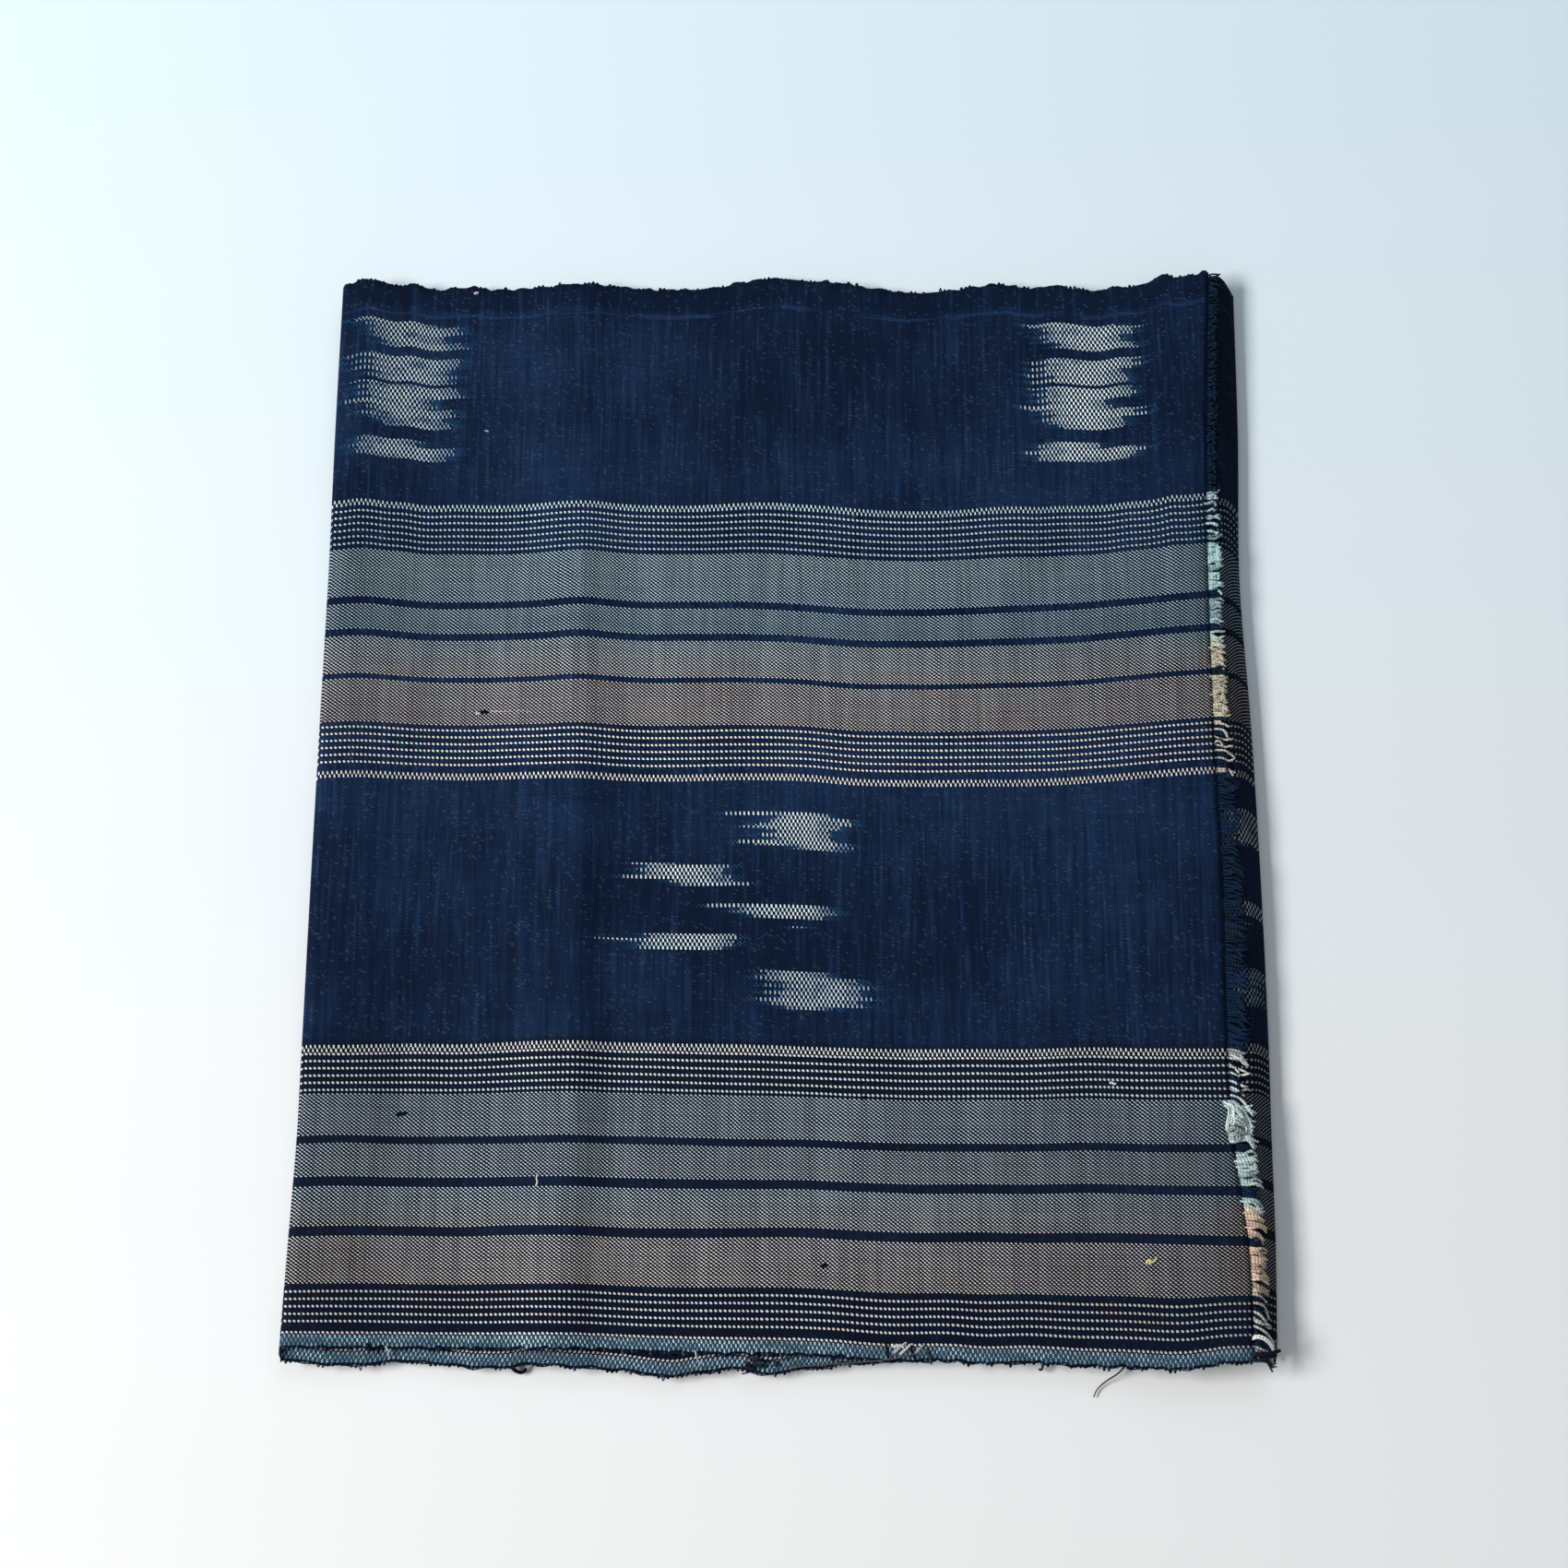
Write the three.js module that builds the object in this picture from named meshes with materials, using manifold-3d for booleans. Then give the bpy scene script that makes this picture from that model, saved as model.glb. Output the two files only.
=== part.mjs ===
// A length of narrow-loom ikat cotton, folded back and forth into four layers, with its cut end
// unravelled into a short fringe. Millimetres, +Z up: X runs along the cloth's length, Y across the
// loom width from selvedge to selvedge, and the lowest layer lies flat on z = 0.
import * as THREE from "three";
import { mergeVertices } from "three/addons/utils/BufferGeometryUtils.js";
import Module from "manifold-3d";

// Driving sizes
const HALF_WIDTH = 168; // half the loom width
const THICK = 1.0; // the cloth
const GAP = 0.4; // air between layers pressed together
const PITCH = THICK + GAP;
const ROWS = 17; // strips across the loom width

// Folds: how far the bend reaches along X, and the height between the two layers it joins
const TOP_FOLD = { reach: 3.2, height: 3.0 };
const RIGHT_FOLD = { reach: 7.5, height: 5.8 };
const LOW_FOLD = { reach: 2.6, height: 2.4 };
const LOW_FOLD_INSET = 1.8; // the lower left fold lies this far inside the upper one
const FOLD_STEPS = 8;
const LOWEST_END = 138; // where the other cut end lies, under the stack

// Ends of the stack at a place y across the cloth: the left folds, the right fold, the end of the
// woven top layer and the tips of its fringe
const ENDS = [
  { y: 170, left: -142.6, right: 146.0, woven: 137.5, tips: 141.7 },
  { y: 120, left: -143.0, right: 145.3, woven: 135.5, tips: 139.5 },
  { y: 70, left: -143.0, right: 143.6, woven: 134.5, tips: 139.4 },
  { y: 25, left: -143.5, right: 145.0, woven: 133.5, tips: 139.0 },
  { y: -30, left: -144.0, right: 145.8, woven: 133.0, tips: 139.8 },
  { y: -80, left: -144.3, right: 145.7, woven: 132.3, tips: 139.4 },
  { y: -105, left: -144.5, right: 145.3, woven: 131.5, tips: 140.5 },
  { y: -135, left: -145.6, right: 145.0, woven: 134.8, tips: 141.2 },
  { y: -170, left: -146.8, right: 143.8, woven: 136.0, tips: 142.6 },
];

// Selvedges of the two upper layers at a place x along the cloth: far and near edge of the top
// layer, then of the second
const EDGES = [
  { x: -147, far1: 167.0, near1: -166.6, far2: 164.6, near2: -170.2 },
  { x: -133, far1: 168.8, near1: -166.8, far2: 165.6, near2: -171.2 },
  { x: -114, far1: 166.5, near1: -167.0, far2: 165.0, near2: -171.4 },
  { x: -88, far1: 166.7, near1: -167.2, far2: 164.8, near2: -172.0 },
  { x: -60, far1: 167.6, near1: -167.0, far2: 165.4, near2: -172.2 },
  { x: -36, far1: 166.4, near1: -168.2, far2: 165.2, near2: -174.2 },
  { x: -18, far1: 167.3, near1: -168.6, far2: 165.4, near2: -173.4 },
  { x: -2, far1: 170.2, near1: -168.8, far2: 165.6, near2: -174.0 },
  { x: 14, far1: 168.9, near1: -169.4, far2: 165.2, near2: -171.8 },
  { x: 40, far1: 165.5, near1: -170.4, far2: 164.4, near2: -170.6 },
  { x: 64, far1: 167.5, near1: -170.8, far2: 164.8, near2: -170.0 },
  { x: 84, far1: 167.3, near1: -171.2, far2: 165.2, near2: -169.8 },
  { x: 102, far1: 165.5, near1: -171.8, far2: 164.8, near2: -169.4 },
  { x: 116, far1: 167.0, near1: -172.2, far2: 165.8, near2: -169.2 },
  { x: 126, far1: 169.6, near1: -171.6, far2: 167.4, near2: -169.0 },
  { x: 138, far1: 171.0, near1: -170.8, far2: 169.4, near2: -168.6 },
  { x: 147, far1: 171.6, near1: -170.4, far2: 169.6, near2: -168.2 },
];
// The two hidden layers keep straight selvedges
const LOW_EDGES = { far3: 165.0, near3: -169.6, far4: 164.0, near4: -169.0 };

// Soft vertical waves of the upper layers: lift of the top and the second layer at the far and the
// near selvedge, place and width along X
const WAVES = [
  { x: -62, width: 9, far1: 1.5, near1: 3.0, far2: 0.5, near2: 1.0 },
  { x: -20, width: 16, far1: 0.5, near1: 0.7, far2: 0.2, near2: 0.2 },
  { x: 18, width: 14, far1: 0.3, near1: 0.5, far2: 0.1, near2: 0.1 },
  { x: 100, width: 20, far1: 0.5, near1: 0.2, far2: 0.3, near2: 0.2 },
];
// How far from each fold the layers start to part
const LEFT_LOFT = 34;
const RIGHT_LOFT = 62;

// Fringe
const STRANDS = 150;
const STRAND_RADIUS = 0.55;
const STRAND_SIDES = 3;
const STRAND_STEPS = 2;
const BACKING_WIDTH = 1.5;
const PARTING = 0.4; // between the woven edge and the strip that holds the strands
const SELVEDGE_MARGIN = 1.4; // from a selvedge to the first strand
const ROOT_DEPTH = 0.4; // share of the strip's width at which a strand starts
const TIP_SHARE = 0.7; // a strand's radius at its tip, as a share of that at its root
const STRAND_LIFT = 0.1; // of a strand's middle over that of the strip
const TIP_CURL = 0.5; // most that a tip lifts
// Unevenness from strand to strand: of the tips along X, by the strand's number, and of the lean
// along Y, by the place across the cloth
const UNEVEN_TIPS = [
  { reach: 0.7, turn: 2.4 },
  { reach: 0.5, turn: 0.71 },
];
const LEANS = [
  { reach: 1.1, turn: 0.059 },
  { reach: 0.5, turn: 0.164 },
];
const CURL_TURN = 1.7;

const { clamp, lerp, smoothstep } = THREE.MathUtils;

// Sum of the sine waves of a table at a place
const waveSum = (waves, place) => waves.reduce((sum, w) => sum + w.reach * Math.sin(w.turn * place), 0);

// The value of a table's named column at a place along its ordered key column, on a smooth curve
// through the rows
function lookUp(table, key, place, column) {
  const rising = table[0][key] < table[table.length - 1][key];
  const rows = rising ? table : [...table].reverse();
  const last = rows.length - 1;
  if (place <= rows[0][key]) return rows[0][column];
  if (place >= rows[last][key]) return rows[last][column];
  const i = rows.findIndex((row) => row[key] > place) - 1;
  const slopeAt = (k) => {
    const [before, after] = [rows[Math.max(k - 1, 0)], rows[Math.min(k + 1, last)]];
    return (after[column] - before[column]) / (after[key] - before[key]);
  };
  const run = rows[i + 1][key] - rows[i][key];
  const t = (place - rows[i][key]) / run;
  const ease = t * t * (3 - 2 * t);
  const bend = run * (t * (1 - t) ** 2 * slopeAt(i) - t * t * (1 - t) * slopeAt(i + 1));
  return lerp(rows[i][column], rows[i + 1][column], ease) + bend;
}

const endAt = (y, column) => lookUp(ENDS, "y", y, column);

// Lift that the soft waves give layer 1 or 2
function waveLift(layer, x, y) {
  const nearness = clamp((HALF_WIDTH - y) / (2 * HALF_WIDTH), 0, 1);
  let lift = 0;
  for (const wave of WAVES) {
    const height = lerp(wave["far" + layer], wave["near" + layer], nearness);
    lift += height * Math.exp(-0.5 * ((x - wave.x) / wave.width) ** 2);
  }
  return lift;
}

// Height of the middle of layer 1 (top) to 4 (lowest) at a place
function layerHeight(layer, x, y) {
  const left = 1 - smoothstep(x - endAt(y, "left"), TOP_FOLD.reach, LEFT_LOFT);
  const right = 1 - smoothstep(endAt(y, "right") - x, RIGHT_FOLD.reach, RIGHT_LOFT);
  const fourth = THICK / 2;
  if (layer === 4) return fourth;
  const third = fourth + lerp(PITCH, LOW_FOLD.height, left);
  if (layer === 3) return third;
  const second = third + PITCH + (RIGHT_FOLD.height - PITCH) * right + waveLift(2, x, y);
  if (layer === 2) return second;
  return second + lerp(PITCH, TOP_FOLD.height, left) + waveLift(1, x, y) - waveLift(2, x, y);
}

// Selvedge of a layer at a place x: side is "far" or "near"
function selvedge(side, layer, x) {
  if (layer > 2) return LOW_EDGES[side + layer];
  return lookUp(EDGES, "x", x, side + layer);
}

// Stations along the cloth's length, from the unravelled end to the other end. A station is in a
// layer, at a share of its run, or in the fold that follows a layer, at an angle.
const RUNS = [
  { layer: 1, shares: [0, 0.03, 0.06, 0.1, 0.14, 0.19, 0.25, 0.31, 0.37, 0.43, 0.49, 0.54, 0.59, 0.63,
    0.66, 0.68, 0.7, 0.72, 0.74, 0.77, 0.81, 0.85, 0.89, 0.93, 0.97, 1] },
  { layer: 2, shares: [0, 0.05, 0.11, 0.18, 0.25, 0.3, 0.36, 0.44, 0.52, 0.6, 0.68, 0.76, 0.83, 0.89,
    0.95, 1] },
  { layer: 3, shares: [0, 0.06, 0.13, 0.23, 0.4, 0.6, 0.8, 0.9, 1] },
  { layer: 4, shares: [0, 0.1, 0.25, 0.5, 0.75, 1] },
];
const FOLD_AFTER = { 1: TOP_FOLD, 2: RIGHT_FOLD, 3: LOW_FOLD };
const PROBE = 0.5; // step along X at which a slope is taken

// Where each layer's run starts and ends at a place y
function runEnds(layer, y) {
  const topLeft = endAt(y, "left") + TOP_FOLD.reach;
  const right = endAt(y, "right") - RIGHT_FOLD.reach;
  const lowLeft = endAt(y, "left") + LOW_FOLD_INSET + LOW_FOLD.reach;
  return {
    1: [endAt(y, "woven"), topLeft],
    2: [topLeft, right],
    3: [right, lowLeft],
    4: [lowLeft, LOWEST_END],
  }[layer];
}

const STATIONS = [];
for (const run of RUNS) {
  for (const share of run.shares) STATIONS.push({ layer: run.layer, share });
  if (!FOLD_AFTER[run.layer]) continue;
  for (let i = 1; i < FOLD_STEPS; i += 1) {
    STATIONS.push({ layer: run.layer, turn: (Math.PI * i) / FOLD_STEPS });
  }
}

// Middle point of the cloth at a station and a share across it, from the near selvedge (0) to the
// far one (1), with the direction square to the cloth in the XZ plane
function middleAt(station, across) {
  const y = lerp(-HALF_WIDTH, HALF_WIDTH, across);
  const [from, to] = runEnds(station.layer, y);
  const heading = Math.sign(to - from);
  if (station.turn === undefined) {
    const x = lerp(from, to, station.share);
    const z = layerHeight(station.layer, x, y);
    const meetsFold = station.share === 1 || (station.share === 0 && station.layer > 1);
    const rise = layerHeight(station.layer, x + PROBE, y) - layerHeight(station.layer, x - PROBE, y);
    const slope = meetsFold ? 0 : rise / (2 * PROBE);
    const place = lerp(selvedge("near", station.layer, x), selvedge("far", station.layer, x), across);
    const up = new THREE.Vector2(-slope, 1).normalize();
    // Odd layers run left and carry their face upward; even layers are turned over
    return { x, y: place, z, nx: heading < 0 ? up.x : -up.x, nz: heading < 0 ? up.y : -up.y };
  }
  const fold = FOLD_AFTER[station.layer];
  const upper = layerHeight(station.layer, to, y);
  const lower = layerHeight(station.layer + 1, to, y);
  const half = (upper - lower) / 2;
  const x = to + heading * fold.reach * Math.sin(station.turn);
  const z = lower + half + half * Math.cos(station.turn);
  const outward = new THREE.Vector2(
    (heading * Math.sin(station.turn)) / fold.reach,
    Math.cos(station.turn) / half,
  ).normalize();
  const faceOut = station.layer % 2 === 1 ? 1 : -1;
  const blend = station.turn / Math.PI;
  const near = lerp(selvedge("near", station.layer, to), selvedge("near", station.layer + 1, to), blend);
  const far = lerp(selvedge("far", station.layer, to), selvedge("far", station.layer + 1, to), blend);
  return { x, y: lerp(near, far, across), z, nx: faceOut * outward.x, nz: faceOut * outward.y };
}

// A closed grid solid from two faces of points, face[i][j], wound so that it faces out
function closedSheet(front, back) {
  const lines = front.length;
  const points = front[0].length;
  const positions = [front, back].flat(3);
  const at = (face, i, j) => face * lines * points + i * points + j;
  const index = [];
  const quad = (a, b, c, d) => index.push(a, b, c, a, c, d);
  for (let i = 0; i + 1 < lines; i += 1) {
    for (let j = 0; j + 1 < points; j += 1) {
      quad(at(0, i, j), at(0, i, j + 1), at(0, i + 1, j + 1), at(0, i + 1, j));
      quad(at(1, i, j), at(1, i + 1, j), at(1, i + 1, j + 1), at(1, i, j + 1));
    }
  }
  for (let i = 0; i + 1 < lines; i += 1) {
    quad(at(0, i, 0), at(0, i + 1, 0), at(1, i + 1, 0), at(1, i, 0));
    const j = points - 1;
    quad(at(0, i, j), at(1, i, j), at(1, i + 1, j), at(0, i + 1, j));
  }
  for (let j = 0; j + 1 < points; j += 1) {
    quad(at(0, 0, j), at(1, 0, j), at(1, 0, j + 1), at(0, 0, j + 1));
    const i = lines - 1;
    quad(at(0, i, j), at(0, i, j + 1), at(1, i, j + 1), at(1, i, j));
  }
  const geometry = new THREE.BufferGeometry();
  geometry.setAttribute("position", new THREE.Float32BufferAttribute(positions, 3));
  geometry.setIndex(index);
  return geometry;
}

// The folded cloth: its middle surface, moved half its thickness to either side
function clothGeometry() {
  const front = [];
  const back = [];
  for (const station of STATIONS) {
    const faceLine = [];
    const backLine = [];
    for (let j = 0; j <= ROWS; j += 1) {
      const m = middleAt(station, j / ROWS);
      faceLine.push([m.x + (m.nx * THICK) / 2, m.y, m.z + (m.nz * THICK) / 2]);
      backLine.push([m.x - (m.nx * THICK) / 2, m.y, m.z - (m.nz * THICK) / 2]);
    }
    front.push(faceLine);
    back.push(backLine);
  }
  return closedSheet(front, back);
}

// Height at which the fringe and its strip lie over the second layer, which bends down to the right
function fringeHeight(x, y) {
  const bendStart = endAt(y, "right") - RIGHT_FOLD.reach;
  const flat = layerHeight(2, Math.min(x, bendStart), y);
  const half = RIGHT_FOLD.height / 2;
  const out = clamp((x - bendStart) / (RIGHT_FOLD.reach + THICK / 2), 0, 1);
  return flat + PITCH - half * (1 - Math.sqrt(1 - out ** 2));
}

// The narrow strip of cloth that holds the roots of the strands, beside the woven edge
function backingGeometry() {
  const top = [[], []];
  const under = [[], []];
  for (let j = 0; j <= ROWS; j += 1) {
    const y = lerp(-HALF_WIDTH, HALF_WIDTH, j / ROWS);
    const x = endAt(y, "woven");
    const z = layerHeight(1, x, y);
    const place = lerp(selvedge("near", 1, x), selvedge("far", 1, x), j / ROWS);
    [x + PARTING + BACKING_WIDTH, x + PARTING].forEach((side, line) => {
      top[line].push([side, place, z + THICK / 2]);
      under[line].push([side, place, z - THICK / 2]);
    });
  }
  return closedSheet(top, under);
}

// One unravelled strand: a tapered three-sided bar from inside the strip to its tip
function strandGeometry(number) {
  const share = (number + 0.5) / STRANDS;
  const y = lerp(-HALF_WIDTH, HALF_WIDTH, share);
  const woven = endAt(y, "woven");
  const near = selvedge("near", 1, woven) + SELVEDGE_MARGIN;
  const far = selvedge("far", 1, woven) - SELVEDGE_MARGIN;
  const root = lerp(near, far, share);
  const start = woven + PARTING + ROOT_DEPTH * BACKING_WIDTH;
  const end = endAt(y, "tips") + waveSum(UNEVEN_TIPS, number);
  const lean = waveSum(LEANS, y);
  const curl = (TIP_CURL / 2) * (1 + Math.sin(number * CURL_TURN));
  const rings = [];
  for (let k = 0; k <= STRAND_STEPS; k += 1) {
    const along = k / STRAND_STEPS;
    const x = lerp(start, end, along);
    const radius = STRAND_RADIUS * lerp(1, TIP_SHARE, along);
    const z = fringeHeight(x, y) + curl * along ** 2 + STRAND_LIFT;
    const ring = [];
    for (let side = 0; side < STRAND_SIDES; side += 1) {
      const angle = Math.PI / 2 + (2 * Math.PI * side) / STRAND_SIDES;
      ring.push([x, root + lean * along + radius * Math.cos(angle), z + radius * Math.sin(angle)]);
    }
    rings.push(ring);
  }
  const positions = rings.flat(2);
  const index = [];
  for (let k = 0; k < STRAND_STEPS; k += 1) {
    for (let side = 0; side < STRAND_SIDES; side += 1) {
      const a = k * STRAND_SIDES + side;
      const b = k * STRAND_SIDES + ((side + 1) % STRAND_SIDES);
      index.push(a, b, b + STRAND_SIDES, a, b + STRAND_SIDES, a + STRAND_SIDES);
    }
  }
  const tip = STRAND_STEPS * STRAND_SIDES;
  index.push(0, 2, 1, tip, tip + 1, tip + 2);
  const geometry = new THREE.BufferGeometry();
  geometry.setAttribute("position", new THREE.Float32BufferAttribute(positions, 3));
  geometry.setIndex(index);
  return geometry;
}

const wasm = await Module();
wasm.setup();
const MERGE_DISTANCE = 1e-4;

// A closed geometry as a solid that can be joined
function solidOf(geometry) {
  const merged = mergeVertices(geometry, MERGE_DISTANCE);
  return new wasm.Manifold(
    new wasm.Mesh({
      numProp: 3,
      vertProperties: merged.attributes.position.array,
      triVerts: new Uint32Array(merged.index.array),
    }),
  );
}

// The strip with all its strands fused to it
function fringeGeometry() {
  let joined = solidOf(backingGeometry());
  for (let number = 0; number < STRANDS; number += 1) {
    joined = joined.add(solidOf(strandGeometry(number)));
  }
  const mesh = joined.getMesh();
  const geometry = new THREE.BufferGeometry();
  geometry.setAttribute("position", new THREE.BufferAttribute(mesh.vertProperties, 3));
  geometry.setIndex(new THREE.BufferAttribute(mesh.triVerts, 1));
  return geometry;
}

const part = new THREE.Group();

const indigo = new THREE.MeshStandardMaterial({ color: 0x16263f, roughness: 0.9, metalness: 0 });
const cloth = new THREE.Mesh(clothGeometry(), indigo);
cloth.name = "cloth";
part.add(cloth);

const paleYarn = new THREE.MeshStandardMaterial({ color: 0xa7b6b5, roughness: 0.95, metalness: 0 });
const fringe = new THREE.Mesh(fringeGeometry(), paleYarn);
fringe.name = "fringe";
part.add(fringe);

// The origin is under the middle of the stack, on the surface it lies on
const box = new THREE.Box3().setFromObject(part);
const middle = box.getCenter(new THREE.Vector3());
part.position.set(-middle.x, -middle.y, -box.min.z);

export default part;
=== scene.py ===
import math

import bpy
import numpy as np
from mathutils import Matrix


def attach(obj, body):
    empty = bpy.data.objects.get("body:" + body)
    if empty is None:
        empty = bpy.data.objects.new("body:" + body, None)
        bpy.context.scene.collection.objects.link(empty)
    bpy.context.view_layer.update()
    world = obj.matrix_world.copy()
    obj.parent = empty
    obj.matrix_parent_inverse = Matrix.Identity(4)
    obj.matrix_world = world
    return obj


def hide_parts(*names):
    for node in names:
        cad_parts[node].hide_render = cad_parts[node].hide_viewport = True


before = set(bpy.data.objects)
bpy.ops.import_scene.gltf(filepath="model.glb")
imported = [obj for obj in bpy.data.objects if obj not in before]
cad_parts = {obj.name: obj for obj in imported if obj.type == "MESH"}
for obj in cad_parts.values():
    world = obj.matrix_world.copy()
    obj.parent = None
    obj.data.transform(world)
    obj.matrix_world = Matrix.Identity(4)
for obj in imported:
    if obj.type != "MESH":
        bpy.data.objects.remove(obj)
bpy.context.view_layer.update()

# The camera looks down on the table from the near side, 77 degrees above it, and the cloth lies
# square to it.
LOOK_FROM = (0.00038, -0.15365, 0.68448)
TILT = math.radians(13.0)
LENS = 51.92
SENSOR = 36.0

camera_data = bpy.data.cameras.new("camera")
camera_data.lens = LENS
camera_data.sensor_width = SENSOR
camera_data.sensor_fit = "HORIZONTAL"
camera_data.clip_start = 0.01
camera = bpy.data.objects.new("camera", camera_data)
camera.location = LOOK_FROM
camera.rotation_euler = (TILT, 0.0, 0.0)
bpy.context.scene.collection.objects.link(camera)
bpy.context.scene.camera = camera
bpy.context.scene.view_settings.view_transform = "Standard"

# Cloth: one length of narrow-loom cotton in plain weave, both long edges selvedges, folded back
# and forth into four layers. The warp runs along X. It is drawn in millimetres: warp_run is the
# length along the warp from the unravelled end, loom_place the place across the loom.
MM = 0.001
CENTRED = (0.379, 1.421, 0.0)
HALF_LOOM = 168.0
CLOTH_THICK = 0.8
LAYER_STEP = 1.4
TOP_FOLD_REACH = 3.2
TOP_FOLD_HEIGHT = 3.0
RIGHT_FOLD_REACH = 7.5
RIGHT_FOLD_FAR = 5.2
RIGHT_FOLD_NEAR = 6.4
LOW_FOLD_REACH = 2.6
LOW_FOLD_HEIGHT = 2.4
LOW_FOLD_INSET = 1.8
LOWEST_END = 138.0
LEFT_LOFT = 34.0
RIGHT_LOFT = 62.0
RUN_START = 139.0
ACROSS_ROWS = 100
LAYER_STEPS = (150, 96, 48, 48)
FOLD_STEPS = 19
WORN_WIDTH = 4.5
CALM_WIDTH = 20.0

# Place across the loom, then where the left fold, right fold, woven end and fringe tips lie
ENDS = [
    (-170, -146.8, 143.8, 136.0, 142.6), (-135, -145.6, 145.0, 136.0, 141.6),
    (-105, -144.5, 145.3, 133.0, 140.6), (-80, -144.3, 145.7, 132.4, 139.4),
    (-30, -144.0, 145.8, 133.0, 139.8), (25, -143.5, 145.0, 132.6, 138.2),
    (70, -143.0, 143.6, 132.9, 137.6), (120, -143.0, 145.3, 134.5, 138.6),
    (170, -142.6, 146.0, 137.5, 141.7),
]

# Place along X, then where the selvedges of layers 1 and 2 lie, worn and wavy
FAR_EDGE_1 = [
    (-147, 166), (-142, 166.6), (-135, 168.9), (-124, 167.2), (-121, 167.9), (-114, 166.3), (-103, 167.2),
    (-92, 166.3), (-63, 167.9), (-42, 166.3), (-20, 167.2), (-10, 169.5), (-2, 170.2), (5, 169.5),
    (19, 168.5), (30, 166.6), (48, 165.3), (55, 166.3), (73, 167.9), (80, 166.6), (87, 167.6),
    (102, 165.3), (109, 166.6), (112, 166.3), (119, 167.9), (122.5, 170.4), (126, 169.2), (130, 169.5),
    (136, 170.6), (141, 172), (147, 171.6),
]
NEAR_EDGE_1 = [
    (-147, -166.6), (-133, -166.8), (-114, -167), (-88, -167.2), (-60, -167.2), (-36, -168.2),
    (-18, -168.6), (-2, -168.8), (14, -169.4), (29, -170.6), (49, -170.6), (58, -171.4), (71, -171.1),
    (87, -172.1), (100, -172.4), (116, -172.9), (129, -171.1), (136, -170.8), (147, -170.4),
]
FAR_EDGE_2 = [
    (-147, 164.6), (-133, 165.6), (-114, 165), (-60, 165.4), (-18, 165.4), (-2, 165.6), (40, 164.4),
    (84, 165.2), (102, 164.8), (116, 165.8), (126, 167.4), (138, 169.4), (147, 169.6),
]
NEAR_EDGE_2 = [
    (-147, -170.3), (-126, -171.9), (-113, -170.8), (-91, -172.4), (-84, -172.7), (-74, -171.6),
    (-61, -172.4), (-49, -173.2), (-39, -174.5), (-32, -175.1), (-26, -174.2), (-16, -172.9), (-3, -174.3),
    (6, -172.9), (19, -171.6), (29, -170.8), (40, -170.4), (64, -170), (84, -169.8), (116, -169.2),
    (138, -168.6), (147, -168.2),
]
LOW_EDGES = {3: (-169.6, 165.0), 4: (-169.0, 164.0)}

# How five of the top layer's stripes wander: the place along X, then where each stripe lies
TRACK_PLACES = [59.9, 3.8, -77.9, -106.8, -133.7]
TRACKS = [
    (-146, 59.6, 3.6, -78.4, -107.0, -133.9), (-133, 60.8, 4.3, -78.4, -106.5, -133.5),
    (-113, 59.6, 4.0, -77.8, -106.8, -133.5), (-96, 59.5, 3.7, -78.0, -106.7, -133.8),
    (-79, 59.7, 3.9, -77.2, -106.7, -133.3), (-62, 60.6, 3.9, -77.0, -106.6, -133.4),
    (-45, 59.7, 3.4, -77.4, -106.8, -134.1), (-28, 59.5, 3.3, -77.8, -107.3, -134.2),
    (-11, 59.4, 3.7, -78.1, -107.7, -134.0), (6, 58.6, 3.4, -78.7, -107.8, -134.0),
    (23, 57.3, 2.0, -79.2, -108.5, -134.9), (40, 57.2, 1.7, -79.4, -109.0, -135.4),
    (57, 57.6, 1.7, -79.4, -109.0, -135.3), (74, 58.4, 1.8, -79.4, -109.0, -135.6),
    (91, 58.9, 2.4, -78.9, -108.7, -135.5), (108, 60.0, 3.6, -79.3, -109.3, -135.8),
    (126, 61.3, 4.6, -79.6, -109.4, -136.4), (139, 62.4, 5.2, -79.7, -109.4, -136.6),
]

# Soft ridges: the place along X, the width to its left and right, then the lift of layers 1
# and 2, far and near
RIDGES = [
    (-64, 13, 5.4, 1.4, 3.5, 0.5, 1.2), (-20, 16, 13, 0.5, 0.7, 0.2, 0.2),
    (18, 14, 10, 0.3, 0.5, 0.1, 0.1), (100, 20, 20, 0.5, 0.2, 0.3, 0.2),
]

# How the right fold falls from its shoulder: the way out and the height, as shares
FALL = [
    (0.0, 0.0, 1.0), (0.12, 0.16, 0.97), (0.26, 0.38, 0.8), (0.4, 0.62, 0.58), (0.54, 0.84, 0.36),
    (0.66, 0.96, 0.21), (0.75, 1.0, 0.1), (0.83, 0.95, 0.02), (0.9, 0.75, 0.0), (1.0, 0.0, 0.0),
]


def smooth_line(rows, place, column=1):
    """The value at each place on a smooth curve through the rows."""
    table = np.array(rows, float)
    at = table[:, 0]
    value = table[:, column]
    slope = np.gradient(value, at)
    place = np.clip(place, at[0], at[-1])
    row = np.clip(np.searchsorted(at, place) - 1, 0, len(at) - 2)
    run = at[row + 1] - at[row]
    t = (place - at[row]) / run
    ease = t * t * (3 - 2 * t)
    bend = run * (t * (1 - t) ** 2 * slope[row] - t * t * (1 - t) * slope[row + 1])
    return value[row] + (value[row + 1] - value[row]) * ease + bend


def eased(value, low, high):
    share = np.clip((value - low) / (high - low), 0, 1)
    return share * share * (3 - 2 * share)


def between(first, second, share):
    return first + (second - first) * share


def left_fold(place):
    return smooth_line(ENDS, place, 1)


def right_fold(place):
    return smooth_line(ENDS, place, 2)


def woven_end(place):
    return smooth_line(ENDS, place, 3)


def fringe_tips(place):
    return smooth_line(ENDS, place, 4)


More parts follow.
